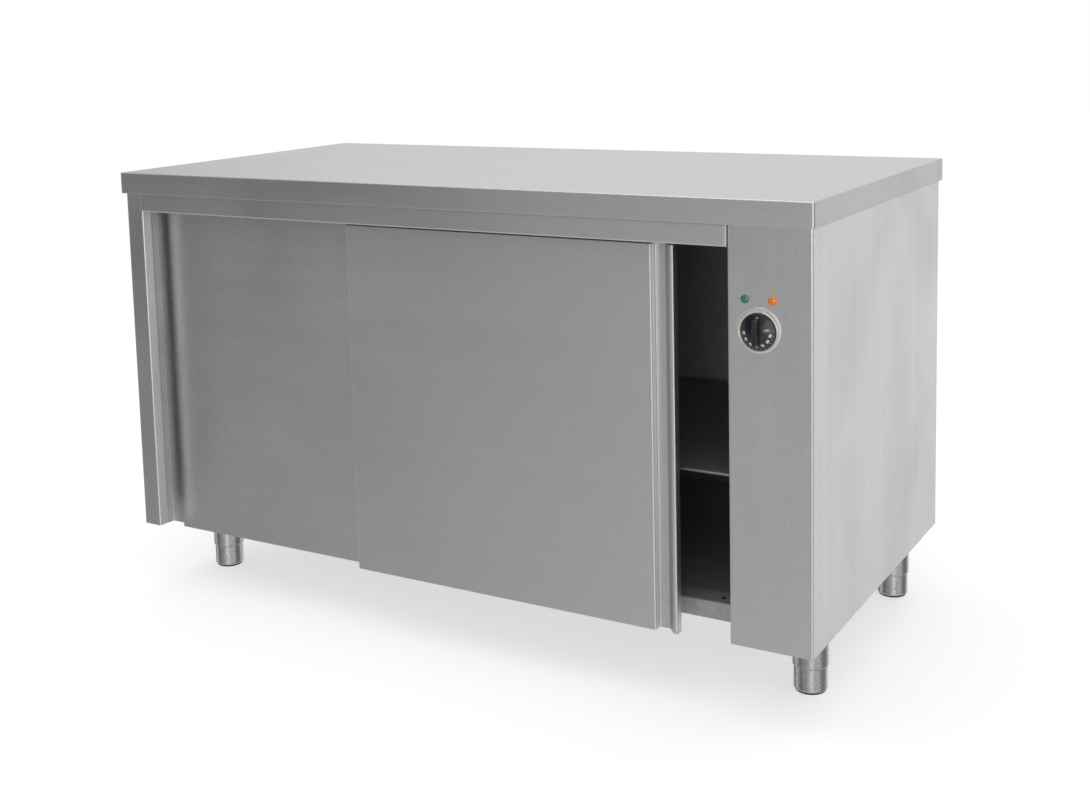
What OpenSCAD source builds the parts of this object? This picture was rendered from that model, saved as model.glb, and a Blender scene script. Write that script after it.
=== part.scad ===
// Plate warmer cabinet with two sliding doors: a folded worktop on a sheet-metal body, doors
// hung on grooved rollers from two tracks, and a technical column with dial, fan and heater.
// Origin: floor level under the centre of the worktop. +X to the right, +Y to the back.

/* [Cabinet] */
// Width of the worktop
cabinet_w = 1400; // [1300:10:1800]
// Depth of the worktop
cabinet_d = 700; // [660:10:800]
// Height of the worktop's top face with the feet screwed home
cabinet_h = 830; // [800:5:900]
// Height of the body's bottom edge above the floor
leg_clear = 128; // [120:1:150]
// Thickness of the casing's sheet
sheet = 1.2; // [1:0.1:1.5]
// Thickness of the inner sheets: liners, partition, back panel
liner_sheet = 1; // [0.8:0.1:1.2]
// Inside radius of the folds
fold_r = 1.5; // [1:0.25:2]

/* [Worktop] */
// Height of the worktop's folded edge
top_edge = 40; // [36:1:50]
// Thickness of the worktop's sheet
top_sheet = 1.5; // [1.2:0.1:2]
// Outside radius of the worktop's top edges
top_r = 2.5; // [2.2:0.1:3]
// Outside radius of the worktop's upright corners
corner_r = 3; // [2.2:0.2:5]
// Width of the flange turned in under the edge
top_return = 14; // [12:1:18]
// Thickness of the board bonded under the sheet
board_t = 18; // [12:1:19]
// Width of a stiffener's web
stiffener_w = 50; // [44:1:60]

/* [Body] */
// Worktop's overhang at the front
inset_front = 8.4; // [6:0.2:12]
// Worktop's overhang at the back
inset_back = 6.8; // [5:0.2:12]
// Worktop's overhang at each side
inset_side = 5.2; // [4:0.2:10]
// Width of the left post's face
post_w = 40.8; // [38:0.2:60]
// Depth of the folds behind the post's and the column's edges
post_return = 20.6; // [12:0.2:21]
// Width of the side panels' rear flanges
back_flange = 25; // [20:1:30]
// Width of the technical column's face
column_w = 135.6; // [130:0.2:180]
// Air gap between the left side panel and its liner
wall_gap = 10.4; // [6:0.2:20]
// Height of the header rail over the doors
header_h = 35; // [34:1:45]
// How far the header stands in front of the post
header_proud = 4; // [2:0.5:5]

/* [Deck and shelf] */
// Distance from the worktop's front edge to the deck's front
deck_setback = 82; // [80:0.5:100]
// Height of the deck's front lip
deck_lip_h = 30.5; // [28:0.5:36]
// Depth of the deck's raised front lip
deck_lip_w = 45.6; // [30:0.2:60]
// Step from the lip down to the deck's floor
deck_step = 12; // [10:0.5:13]
// Distance between the blanking plugs in the deck's lip
plug_pitch = 560; // [400:10:570]
// Height of the shelf's top face above the floor
shelf_z = 366; // [366:40:486]
// Height of the shelf's folded edges
shelf_lip = 30; // [20:1:34]
// Distance from the worktop's front edge to the shelf's front
shelf_setback = 110; // [100:1:150]

/* [Doors] */
// Distance from the worktop's front edge to the front door's face
door_setback = 31.4; // [31:0.2:34]
// Distance between the two doors' faces
door_pitch = 25; // [24:0.5:27]
// Thickness of a door
door_t = 18; // [17.5:0.1:18.5]
// Thickness of the door's sheet
door_sheet = 1; // [0.8:0.1:1]
// How far the doors hang below the body's bottom edge
door_drop = 14; // [8:1:20]
// Gap between the header's lower edge and the doors
door_gap = 6; // [3:0.5:8]
// Overlap of the two closed doors
door_lap = 9; // [6:1:30]
// How far the rear door's closed edge lies behind the post
hide_left = 35; // [30:0.5:35]
// How far the front door's closed edge lies behind the column's face
hide_right = 25; // [15:1:25]
// How far the front door stands open
front_open = 126; // [0:1:400]

/* [Finger pulls] */
// Depth of the full-height finger pulls
pull_depth = 16; // [12:0.5:16]
// Width of the lip at the door's closing edge
pull_lip = 6; // [5.5:0.5:8]
// Width of the sloped wall in the front door's pull
pull_ramp = 14; // [10:1:18]
// Width of the flat floor in the front door's pull
pull_floor = 19; // [16:1:30]
// Width of the flat floor in the rear door's pull
rear_pull_floor = 43; // [30:1:45]

/* [Tracks and rollers] */
// Thickness of the track's sheet
track_t = 1.5; // [1.2:0.1:1.5]
// Radius of the roller's groove
roller_r = 8.7; // [8:0.1:9]
// Radius of the roller's flanges
roller_flange_r = 11.5; // [10.5:0.1:11.5]
// Width of a roller
roller_w = 8; // [7:0.5:8]
// Radius of the roller's axle
axle_r = 3; // [2.5:0.1:3.5]
// Distance from a door's end to its hanger
hanger_in = 70; // [50:5:150]

/* [Legs] */
// Distance from the centre to a leg across the width
leg_x_in = 64; // [60:1:70]
// Distance from the body's front to the front legs
leg_front_in = 166; // [120:1:240]
// Distance from the body's back to the rear legs
leg_back_in = 64; // [55:1:90]
// Radius of the leg's sleeve
sleeve_r = 30; // [28:0.5:32]
// Wall of the leg's sleeve
sleeve_t = 1.5; // [1.2:0.1:2]
// Height of the sleeve's lower rim
sleeve_z = 43; // [38:1:50]
// Radial gap between a foot and its sleeve's rim
foot_gap = 0.5; // [0.3:0.1:0.8]
// Radius of the foot's threaded stud
stud_r = 6; // [5:0.5:8]

/* [Controls] */
// Distance from the casing's right face to the dial's axis
dial_in = 85.3; // [84:0.1:86]
// Height of the dial's axis
dial_z = 629; // [560:1:650]
// Radius of the dial
dial_r = 28.5; // [24:0.5:30]
// How far the knob stands in front of the column
knob_h = 21.6; // [18:0.2:24]
// Outside radius of the ring round the dial
bezel_r = 35.5; // [33:0.5:36]
// How far the ring's centre lies above the dial's axis
bezel_up = 2.4; // [0:0.2:3]
// Width of the index plate at the top of the ring
index_w = 17; // [12:0.5:20]
// Radius of the dial's shaft
shaft_r = 3; // [2.5:0.5:4]
// Distance between the two lamps
lamp_pitch = 44; // [30:1:60]
// Height of the lamps above the dial's axis
lamp_up = 48.5; // [46:0.5:60]
// Radius of a lamp's lens
lamp_r = 6.5; // [5:0.5:8]

/* [Fan and heater] */
// Side of the square fan frame
fan_w = 120; // [110:1:130]
// Depth of the fan frame
fan_t = 38; // [30:1:40]
// Distance between the partition and the fan
fan_standoff = 36; // [34:1:40]
// Width of the frame's rim beside the fan's bore
fan_rim = 4; // [3:0.5:8]
// Gap between the blades' tips and the frame
tip_gap = 2; // [1:0.5:4]
// Height of the fan's axis above the floor
fan_z = 250; // [240:1:255]
// Number of impeller blades
blade_count = 7; // [5:1:7]
// Radius of the heating tube
heater_r = 4.2; // [3:0.1:5]
// Radius of the heating tube's fins
fin_r = 12; // [8:0.5:13]
// Number of fins on each leg of the heater
fin_count = 10; // [4:1:12]
// Radius of the cable gland's opening
gland_bore_r = 4.5; // [3:0.5:6]

/* [Hidden] */

// Gap kept between pieces that move past each other
move_gap = 0.3;
// Radial clearance of pins and shafts in their bores
run_gap = 0.05;
// Facets per fold and per full circle
fold_steps = 5;
round_n = 64;
small_n = 32;
// Reach of a cutting body past the faces it cuts
cut = 2;

// Outer faces of the body
x_left = -cabinet_w/2 + inset_side;
x_right = cabinet_w/2 - inset_side;
y_front = -cabinet_d/2 + inset_front;
y_back = cabinet_d/2 - inset_back;
z_base = leg_clear;
z_roof = cabinet_h - top_edge;
mid = sheet/2;
liner_mid = liner_sheet/2;
// Front face of the back panel
y_inner = y_back - sheet - liner_sheet;
// Inner edges of the post and of the column's face
post_x = x_left + post_w;
column_x = x_right - column_w;

// Doors: closing edges, faces and heights
edge_left = post_x - hide_left;
edge_right = column_x + hide_right;
door_w = (edge_right - edge_left + door_lap)/2;
front_y = -cabinet_d/2 + door_setback;
rear_y = front_y + door_pitch;
door_z0 = z_base - door_drop;
door_z1 = z_roof - header_h - door_gap;
front_edge = edge_right - front_open;
front_tail = front_edge - door_w;
rear_tail = edge_left + door_w;
front_mid = front_y + door_t/2;
rear_mid = rear_y + door_t/2;
door_mid = door_sheet/2;
// Laps of the skin round the liner: at the door's tail and at its closing edge
back_lap = 12;
nose_lap = pull_lip - 1;

// Door buffers reach from the walls to the closed edges
buffer_r = 6;
buffer_right_t = 4;
partition_x = edge_right + move_gap + buffer_right_t;
partition_r = partition_x + liner_sheet;
liner_x = x_left + sheet + wall_gap;
liner_in = liner_x + liner_sheet;

// Deck
y_deck = -cabinet_d/2 + deck_setback;
z_lip = z_base + deck_lip_h;
z_floor = z_lip - deck_step;
z_under = z_floor - sheet;

// Tracks: the roller runs on an upturned lip
track_web = 8.5;
track_front = 10;
track_lip_h = 5.25;
z_track = door_z1 + 6 + track_t/2;
z_track_lip = z_track + track_lip_h;
z_axle = z_track_lip + move_gap + roller_r;
hanger_t = 2;
hanger_back = 7;
hanger_l = 44;
hanger_h = 30;
hanger_foot = 6;

// Legs
leg_x = x_right - leg_x_in;
leg_front_y = y_front + leg_front_in;
leg_back_y = y_back - leg_back_in;
rail_w = 80;
rail_t = 1.5;
plate_t = 3;
plate_l = 96;
plate_w = rail_w - 2*rail_t - 2*fold_r;
z_plate = z_under - rail_t - plate_t;
bolt_off = 40;
sleeve_lip_r = 3;
insert_z0 = sleeve_z + 39;
insert_z1 = sleeve_z + 79;
foot_wall = 1.5;
foot_r = sleeve_r - sleeve_t - foot_gap;
foot_top = sleeve_z + 29;
pad_h = 3;
pad_inset = 2.5;
stud_top = insert_z1 - 4;

// Controls
dial_x = x_right - dial_in;
bezel_t = 2.8;
collar_r = 5;
body_w = 36;
body_d = 28;
lamp_z = dial_z + lamp_up;
lamp_barrel_r = lamp_r - 1.2;

// Fan set
fan_y = 40;
fan_x = partition_r + fan_standoff;
shroud_w = fan_w + 2;
grille_w = fan_w + 30;
heater_x = partition_r + fan_standoff/2;
heater_bend = 26;
fan_bore_r = fan_w/2 - fan_rim;
impeller_r = fan_bore_r - tip_gap;
motor_r = 22;
hub_r = 22.5;
fan_pin_r = 2;
gland_x = x_right - 55;
gland_z = z_base + 47;
gland_hex_r = 13.5;
gland_thread_r = 10;
cover_x0 = partition_r + 16;
cover_x1 = x_right - back_flange - 6;
cover_z0 = z_base + 132;
cover_z1 = z_roof - 30;
cover_lap = 9;
screw_r = 2;
head_r = 4;
head_h = 2.2;

// ---- Helpers -------------------------------------------------------------------------------

function unit(v) = v/norm(v);
function left_of(v) = [-v[1], v[0]];
function spun(v, a) = [v[0]*cos(a) - v[1]*sin(a), v[0]*sin(a) + v[1]*cos(a)];
function turned(a, b) = atan2(a[0]*b[1] - a[1]*b[0], a*b);
// Centre line and normals round one fold of a strip
function fold_at(a, b, c, r) =
    let (d = unit(b - a), angle = turned(d, unit(c - b)), s = sign(angle),
        hub = b - d*r*tan(abs(angle)/2) + left_of(d)*r*s)
    [for (k = [0:fold_steps]) let (n = spun(left_of(d), angle*k/fold_steps)) [hub - n*r*s, n]];
function strip_line(path, r) = let (last = len(path) - 1) [
    [path[0], left_of(unit(path[1] - path[0]))],
    for (i = [1:last - 1]) each fold_at(path[i - 1], path[i], path[i + 1], r),
    [path[last], left_of(unit(path[last] - path[last - 1]))]];

// Section of a sheet folded along a centre line
module strip(path, t) {
    line = strip_line(path, fold_r + t/2);
    polygon(concat([for (p = line) p[0] + p[1]*t/2],
        [for (i = [len(line) - 1:-1:0]) line[i][0] - line[i][1]*t/2]));
}

// Folded sheets: the section lies in XY, YZ or XZ and runs along the third axis
module fold_z(path, t, z0, z1) translate([0, 0, z0]) linear_extrude(z1 - z0) strip(path, t);
module fold_x(path, t, x0, x1) translate([x0, 0, 0]) rotate([90, 0, 90]) linear_extrude(x1 - x0)
    strip(path, t);
module fold_y(path, t, y0, y1) translate([0, y1, 0]) rotate([90, 0, 0]) linear_extrude(y1 - y0)
    strip(path, t);

module box(low, high) translate(low) cube(high - low);
module rod_x(at, r, l, n = small_n) translate(at) rotate([0, 90, 0]) cylinder(r = r, h = l, $fn = n);
module rod_y(at, r, l, n = small_n) translate(at) rotate([-90, 0, 0]) cylinder(r = r, h = l, $fn = n);
module rod_z(at, r, l, n = small_n) translate(at) cylinder(r = r, h = l, $fn = n);
// Turned about the dial's axis: the section's Y is the distance in front of the column
module turned_front(x, z) translate([x, y_front, z]) rotate([90, 0, 0]) rotate_extrude($fn = round_n)
    children();
module each_leg() for (x = [-leg_x, leg_x], y = [leg_front_y, leg_back_y]) translate([x, y, 0]) children();

// ---- Worktop -------------------------------------------------------------------------------

function round_top(half, z0, z1, r) = concat([[-half, z0], [half, z0]],
    [for (a = [0:18:90]) [half - r + r*cos(a), z1 - r + r*sin(a)]],
    [for (a = [90:18:180]) [-half + r + r*cos(a), z1 - r + r*sin(a)]]);

// One rounded corner of a plan: quarter circle of radius r from the angle a0
function quarter(x, y, r, a0) = [for (a = [a0:18:a0 + 90]) [x + r*cos(a), y + r*sin(a)]];

module slab(half_w, half_d, z0, z1, r, plan_r) intersection() {
    translate([-half_w - cut, 0, 0]) rotate([90, 0, 90]) linear_extrude(2*half_w + 2*cut)
        polygon(round_top(half_d, z0, z1, r));
    translate([0, half_d + cut, 0]) rotate([90, 0, 0]) linear_extrude(2*half_d + 2*cut)
        polygon(round_top(half_w, z0, z1, r));
    translate([0, 0, z0 - cut]) linear_extrude(z1 - z0 + 2*cut) polygon(concat(
        quarter(half_w - plan_r, half_d - plan_r, plan_r, 0),
        quarter(plan_r - half_w, half_d - plan_r, plan_r, 90),
        quarter(plan_r - half_w, plan_r - half_d, plan_r, 180),
        quarter(half_w - plan_r, plan_r - half_d, plan_r, 270)));
}

module worktop() color("silver") difference() {
    slab(cabinet_w/2, cabinet_d/2, z_roof, cabinet_h, top_r, corner_r);
    slab(cabinet_w/2 - top_sheet, cabinet_d/2 - top_sheet, z_roof + top_sheet,
        cabinet_h - top_sheet, top_r - top_sheet, corner_r - top_sheet);
    box([-cabinet_w/2 + top_return, -cabinet_d/2 + top_return, z_roof - cut],
        [cabinet_w/2 - top_return, cabinet_d/2 - top_return, z_roof + 2*cut]);
}

board_z = cabinet_h - top_sheet - board_t;
board_in = top_sheet + 1.5;

module worktop_board() color("burlywood")
    box([-cabinet_w/2 + board_in, -cabinet_d/2 + board_in, board_z],
        [cabinet_w/2 - board_in, cabinet_d/2 - board_in, board_z + board_t]);

// Hat sections between the board and the body; the tracks hang from the front one
stiffener_brim = 20;
module stiffener(y) fold_x([[y - stiffener_w/2 - stiffener_brim, board_z - mid],
    [y - stiffener_w/2, board_z - mid], [y - stiffener_w/2, z_roof + mid],
    [y + stiffener_w/2, z_roof + mid], [y + stiffener_w/2, board_z - mid],
    [y + stiffener_w/2 + stiffener_brim, board_z - mid]], sheet,
    -cabinet_w/2 + top_return + cut, cabinet_w/2 - top_return - cut);

module top_stiffeners() color("gainsboro") for (y = [(front_mid + rear_mid)/2, 20, y_inner - 60])
    stiffener(y);

// ---- Body panels ---------------------------------------------------------------------------

rivet_r = 1.6;
rivet_count = 7;
function rivet_z(i) = z_base + 50 + i*(z_roof - z_base - 100)/(rivet_count - 1);
rivet_in = (wall_gap + sheet + liner_sheet + back_flange)/2;

module rivet_holes() for (i = [0:rivet_count - 1], x = [x_left + rivet_in, x_right - rivet_in])
    rod_y([x, y_inner - cut, rivet_z(i)], rivet_r + run_gap, sheet + liner_sheet + 2*cut);

module left_side() color("silver") difference() {
    fold_z([[post_x - mid, y_front + post_return], [post_x - mid, y_front + mid],
        [x_left + mid, y_front + mid], [x_left + mid, y_back - mid],
        [x_left + back_flange, y_back - mid]], sheet, z_base, z_roof);
    rivet_holes();
}

module right_casing() color("silver") difference() {
    fold_z([[column_x + mid, y_front + post_return], [column_x + mid, y_front + mid],
        [x_right - mid, y_front + mid], [x_right - mid, y_back - mid],
        [x_right - back_flange, y_back - mid]], sheet, z_base, z_roof);
    rivet_holes();
    rod_y([dial_x, y_front - cut, dial_z], collar_r + run_gap, sheet + 2*cut);
    for (x = [-lamp_pitch/2, lamp_pitch/2])
        rod_y([dial_x + x, y_front - cut, lamp_z], lamp_barrel_r + run_gap, sheet + 2*cut);
}

// Wall between the warm compartment and the column, with the blown-air opening and return slots
slot_rows = 7;
slot_l = 44;
slot_w = 6;
slot_step = 14;
slot_drop = 180;
module partition() color("gainsboro") difference() {
    fold_z([[partition_x - 14, y_front + sheet + liner_mid],
        [partition_x + liner_mid, y_front + sheet + liner_mid],
        [partition_x + liner_mid, y_inner - liner_mid],
        [partition_x + 15, y_inner - liner_mid]], liner_sheet, z_base, z_roof);
    box([partition_x - cut, fan_y - fan_w/2, fan_z - fan_w/2],
        [partition_r + cut, fan_y + fan_w/2, fan_z + fan_w/2]);
    for (i = [0:slot_rows - 1], y = [-slot_l - 10, 10]) translate([0, fan_y + y, z_roof - slot_drop])
        box([partition_x - cut, 0, slot_step*i], [partition_r + cut, slot_l, slot_step*i + slot_w]);
    rod_y([dial_x - lamp_pitch/2, y_front, lamp_z], lamp_barrel_r + 1.6 + move_gap, 20);
    grille_screw_holes();
}

module liner_left() color("gainsboro") fold_z([[x_left + sheet, y_deck + liner_mid],
    [liner_x + liner_mid, y_deck + liner_mid], [liner_x + liner_mid, y_inner]], liner_sheet,
    z_base, z_roof);

ceiling_flange = 20;
module liner_top() color("gainsboro") fold_x([[y_deck + liner_mid, z_roof - ceiling_flange],
    [y_deck + liner_mid, z_roof - liner_mid], [y_inner, z_roof - liner_mid]], liner_sheet,
    liner_in, partition_x);

module back_panel() color("silver") difference() {
    box([x_left + sheet + fold_r, y_inner, z_base],
        [x_right - sheet - fold_r, y_inner + liner_sheet, z_roof]);
    rivet_holes();
    rod_y([gland_x, y_inner - cut, gland_z], gland_thread_r + run_gap, 3*cut);
    box([cover_x0 + cover_lap, y_inner - cut, cover_z0 + cover_lap],
        [cover_x1 - cover_lap, y_back + cut, cover_z1 - cover_lap]);
    cover_screw_places() rod_y([0, y_inner - cut, 0], screw_r + run_gap, 3*cut);
}

module cover_screw_places() for (x = [cover_x0 + cover_lap/2, cover_x1 - cover_lap/2],
    z = [cover_z0 + 15, (cover_z0 + cover_z1)/2, cover_z1 - 15]) translate([x, 0, z]) children();

module service_cover() color("silver") difference() {
    box([cover_x0, y_inner + liner_sheet, cover_z0], [cover_x1, y_inner + liner_sheet + sheet, cover_z1]);
    cover_screw_places() rod_y([0, y_inner, 0], screw_r + run_gap, 3*cut);
}

header_end = 2.2;
header_depth = 12;
module header_rail() color("silver") fold_x([[y_front + header_depth, z_roof - mid],
    [y_front - header_proud + mid, z_roof - mid],
    [y_front - header_proud + mid, z_roof - header_h + mid],
    [y_front + header_depth, z_roof - header_h + mid],
    [y_front + header_depth, z_roof - header_h + 8]], sheet, post_x, column_x - header_end);

// C-shaped track: top flange, web behind the rollers, and the upturned lip they run on
module track(y) fold_x([[y, z_track_lip], [y, z_track], [y + track_web, z_track],
    [y + track_web, z_roof - track_t/2], [y - track_front, z_roof - track_t/2]], track_t,
    x_left + sheet, partition_x);

module front_track() color("lightgray") track(front_mid);
module rear_track() color("lightgray") track(rear_mid);

// ---- Deck, base and legs -------------------------------------------------------------------

plug_r = 4;
plug_in = 79;
plug_x = [for (k = [0:2]) partition_x - plug_in - k*plug_pitch];
plug_y = y_deck + 19;

module deck() color("silver") difference() {
    fold_x([[y_deck + 18, z_base + mid], [y_deck + mid, z_base + mid], [y_deck + mid, z_lip - mid],
        [y_deck + deck_lip_w, z_lip - mid], [y_deck + deck_lip_w, z_floor - mid],
        [y_inner - mid, z_floor - mid], [y_inner - mid, z_floor + 20]], sheet, liner_in, partition_x);
    for (x = plug_x) rod_z([x, plug_y, z_lip - cut], plug_r - 1, 2*cut);
}

// Blanking plugs in the deck lip's holes
module deck_plugs() color("dimgray") for (x = plug_x) {
    rod_z([x, plug_y, z_lip], plug_r, 1);
    rod_z([x, plug_y, z_lip - sheet - 3], plug_r - 1 - run_gap, sheet + 3);
}

module column_base() color("gainsboro") difference() {
    fold_x([[y_front + sheet + liner_mid, z_floor + 14],
        [y_front + sheet + liner_mid, z_under + liner_mid],
        [y_inner - liner_sheet, z_under + liner_mid]], liner_sheet, partition_r,
        x_right - sheet - fold_r);
    for (i = [0:8]) box([partition_r + 30, -60 + 14*i, z_under - cut],
        [x_right - 26, -54 + 14*i, z_under + liner_sheet + cut]);
}

module base_rail(x, y0) fold_y([[x - rail_w/2, z_base + 1], [x - rail_w/2, z_under - rail_t/2],
    [x + rail_w/2, z_under - rail_t/2], [x + rail_w/2, z_base + 1]], rail_t, y0, y_inner - liner_sheet);

module leg_bolt_places() each_leg() for (y = [-bolt_off, bolt_off]) translate([0, y, 0]) children();

module base_rails() color("gainsboro") difference() {
    union() {
        base_rail(-leg_x, y_deck + 20);
        base_rail(leg_x, y_front + sheet + liner_sheet);
    }
    leg_bolt_places() rod_z([0, 0, z_plate - cut], 4 + run_gap, 3*cut + plate_t);
}

// Sleeve with its rim rolled in round the foot, welded to a plate
module sleeve() {
    hub = sleeve_r - sleeve_lip_r;
    rotate_extrude($fn = round_n) polygon(concat(
        [[sleeve_r - sleeve_t, z_plate], [sleeve_r, z_plate]],
        [for (a = [0:-15:-60]) [hub + sleeve_lip_r*cos(a), sleeve_z + sleeve_lip_r*(1 + sin(a))]],
        [for (a = [-30:10:0]) [hub + (sleeve_lip_r - sleeve_t)*cos(a),
            sleeve_z + sleeve_lip_r + (sleeve_lip_r - sleeve_t)*sin(a)]]));
}

module leg_sleeves() color("silver") each_leg() {
    sleeve();
    difference() {
        box([-plate_w/2, -plate_l/2, z_plate], [plate_w/2, plate_l/2, z_plate + plate_t]);
        for (y = [-bolt_off, bolt_off]) rod_z([0, y, z_plate - cut], 4 + run_gap, plate_t + 2*cut);
    }
}

// Threaded plugs that hold the studs
module leg_inserts() color("dimgray") each_leg() rotate_extrude($fn = round_n) polygon([
    [stud_r + run_gap, insert_z0], [stud_r + 5, insert_z0],
    [stud_r + 5, insert_z0 + 8], [sleeve_r - sleeve_t - run_gap, insert_z0 + 8],
    [sleeve_r - sleeve_t - run_gap, insert_z1], [stud_r + run_gap, insert_z1]]);

// Pressed cup with its stud
module foot(x, y) color("silver") translate([x, y, 0]) rotate_extrude($fn = round_n) polygon(concat(
    [[0, pad_h], [foot_r - 3.5, pad_h]],
    [for (a = [-72:18:0]) [foot_r - 3.5 + 3.5*cos(a), pad_h + 3.5 + 3.5*sin(a)]],
    [[foot_r, foot_top], [foot_r - foot_wall, foot_top], [foot_r - foot_wall, pad_h + 4],
        [stud_r, pad_h + 4], [stud_r, stud_top - 1], [stud_r - 1, stud_top], [0, stud_top]]));

module pad(x, y) color("#222222") translate([x, y, 0]) rotate_extrude($fn = round_n) polygon([
    [0, 0], [foot_r - pad_inset - 1, 0], [foot_r - pad_inset, 1], [foot_r - pad_inset, pad_h], [0, pad_h]]);

module foot_front_left() foot(-leg_x, leg_front_y);
module foot_front_right() foot(leg_x, leg_front_y);
module foot_rear_left() foot(-leg_x, leg_back_y);
module foot_rear_right() foot(leg_x, leg_back_y);
module pad_front_left() pad(-leg_x, leg_front_y);
module pad_front_right() pad(leg_x, leg_front_y);
module pad_rear_left() pad(-leg_x, leg_back_y);
module pad_rear_right() pad(leg_x, leg_back_y);

// ---- Shelf ---------------------------------------------------------------------------------

upright_w = 20;
upright_d = 8;
upright_t = 1.5;
slot_pitch = 40;
slot_h = 12;
clip_drop = 16;
clip_t = 2;
clip_reach = 22;
y_shelf = -cabinet_d/2 + shelf_setback;
upright_y = [y_shelf + 60, y_inner - 90];
shelf_x0 = liner_in + upright_d + cut;
shelf_x1 = partition_x - upright_d - cut;
shelf_back = y_inner - 14;
shelf_low = shelf_z - shelf_lip;

module shelf() color("silver") {
    fold_x([[y_shelf + 12, shelf_low + mid], [y_shelf + mid, shelf_low + mid],
        [y_shelf + mid, shelf_z - mid], [shelf_back - mid, shelf_z - mid],
        [shelf_back - mid, shelf_low + mid], [shelf_back - 12, shelf_low + mid]], sheet,
        shelf_x0, shelf_x1);
    for (x = [shelf_x0, shelf_x1 - sheet])
        box([x, y_shelf + fold_r + sheet, shelf_low], [x + sheet, shelf_back - fold_r - sheet, shelf_z]);
}

// Upright channels with hook slots; side +1 opens to the right
module upright(x, y, side) difference() {
    fold_z([[x, y - upright_w/2], [x + side*(upright_d - upright_t/2), y - upright_w/2],
        [x + side*(upright_d - upright_t/2), y + upright_w/2], [x, y + upright_w/2]], upright_t,
        z_floor + 2, z_roof - ceiling_flange - 10);
    for (z = [shelf_low - 3*slot_pitch:slot_pitch:z_roof - 80]) if (z > z_floor + 30)
        box([x - cut, y - 3.1, z - clip_drop], [x + upright_d + cut, y + 3.1, z - clip_drop + slot_h]);
}

module shelf_uprights() color("lightgray") for (y = upright_y) {
    upright(liner_in, y, 1);
    translate([2*partition_x, 0, 0]) mirror([1, 0, 0]) upright(partition_x, y, 1);
}

// Hooked tongues that carry the shelf's end flanges
module clip(x, y, side) translate([x, y, shelf_low - move_gap]) rotate([90, 0, 0])
    linear_extrude(5.6, center = true) scale([side, 1]) polygon([
        [0, 0], [0, -clip_drop + slot_h - 0.4], [-upright_t - 3, -clip_drop + slot_h - 0.4],
        [-upright_t - 3, -clip_drop + 0.6], [0, -clip_drop + 0.6], [0.2, -clip_drop - 6],
        [clip_t, -clip_drop - 6], [clip_reach, -clip_t], [clip_reach, 0]]);

module shelf_clips() color("lightgray") for (y = upright_y) {
    clip(liner_in + upright_d, y, 1);
    clip(partition_x - upright_d, y, -1);
}

// ---- Sliding doors -------------------------------------------------------------------------

// The skin and its finger pull are one sheet; [distance from the closing edge, depth]
function door_path(floor_w, ramp) = let (m = door_mid, deep = pull_depth + door_mid,
    inner = pull_lip + ramp + floor_w) [
    [door_w - back_lap, door_t - m], [door_w - m, door_t - m], [door_w - m, m],
    [inner, m], [inner, deep], [pull_lip + ramp, deep], [pull_lip, m], [m, m],
    [m, door_t - m], [nose_lap, door_t - m]];

module door_skin(edge, side, y, floor_w, ramp) fold_z(
    [for (p = door_path(floor_w, ramp)) [edge + side*p[0], y + p[1]]], door_sheet, door_z0, door_z1);

// Inner tray: back sheet with top and bottom flanges, behind the skin and flush with its laps
module door_liner(edge, side, y, pull_w) {
    flange_from = pull_w + door_sheet + move_gap;
    near = edge + side*(nose_lap + move_gap);
    far = edge + side*(door_w - back_lap - move_gap);
    stop = edge + side*flange_from;
    difference() {
        fold_x([[y + door_sheet, door_z1 - door_mid], [y + door_t - door_mid, door_z1 - door_mid],
            [y + door_t - door_mid, door_z0 + door_mid], [y + door_sheet, door_z0 + door_mid]],
            door_sheet, min(near, far), max(near, far));
        box([min(near, stop) - cut*(side > 0 ? 1 : 0), y - cut, door_z0 - cut],
            [max(near, stop) + cut*(side > 0 ? 0 : 1), y + door_t - door_sheet, door_z1 + cut]);
    }
}

// Angle bracket on the door's top with its riveted axle
module hanger(x, y) {
    fold_x([[y + hanger_foot, door_z1 + hanger_t/2], [y - hanger_back, door_z1 + hanger_t/2],
        [y - hanger_back, door_z1 + hanger_h]], hanger_t, x - hanger_l/2, x + hanger_l/2);
    rod_y([x, y - hanger_back, z_axle], axle_r, hanger_back + roller_w/2 + 1);
    rod_y([x, y - hanger_back, z_axle], axle_r + 1.5, hanger_back - roller_w/2 - move_gap);
    rod_y([x, y + roller_w/2 + move_gap, z_axle], axle_r + 1.2, 1.2);
}

module roller(x, y) color("ivory") translate([x, y, z_axle]) rotate([90, 0, 0])
    rotate_extrude($fn = round_n) polygon([[axle_r + run_gap, -roller_w/2],
        [roller_flange_r, -roller_w/2], [roller_flange_r, -roller_w/2 + 1.4],
        [roller_r, -track_t/2 - 0.4], [roller_r, track_t/2 + 0.4],
        [roller_flange_r, roller_w/2 - 1.4], [roller_flange_r, roller_w/2],
        [axle_r + run_gap, roller_w/2]]);

front_pull_w = pull_lip + pull_ramp + pull_floor;
rear_ramp = 0.5;
rear_pull_w = pull_lip + rear_ramp + rear_pull_floor;

module front_door_skin() color("silver") door_skin(front_edge, -1, front_y, pull_floor, pull_ramp);
module front_door_liner() color("gainsboro") door_liner(front_edge, -1, front_y, front_pull_w);
module rear_door_skin() color("silver") door_skin(edge_left, 1, rear_y, rear_pull_floor, rear_ramp);
module rear_door_liner() color("gainsboro") door_liner(edge_left, 1, rear_y, rear_pull_w);

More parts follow.
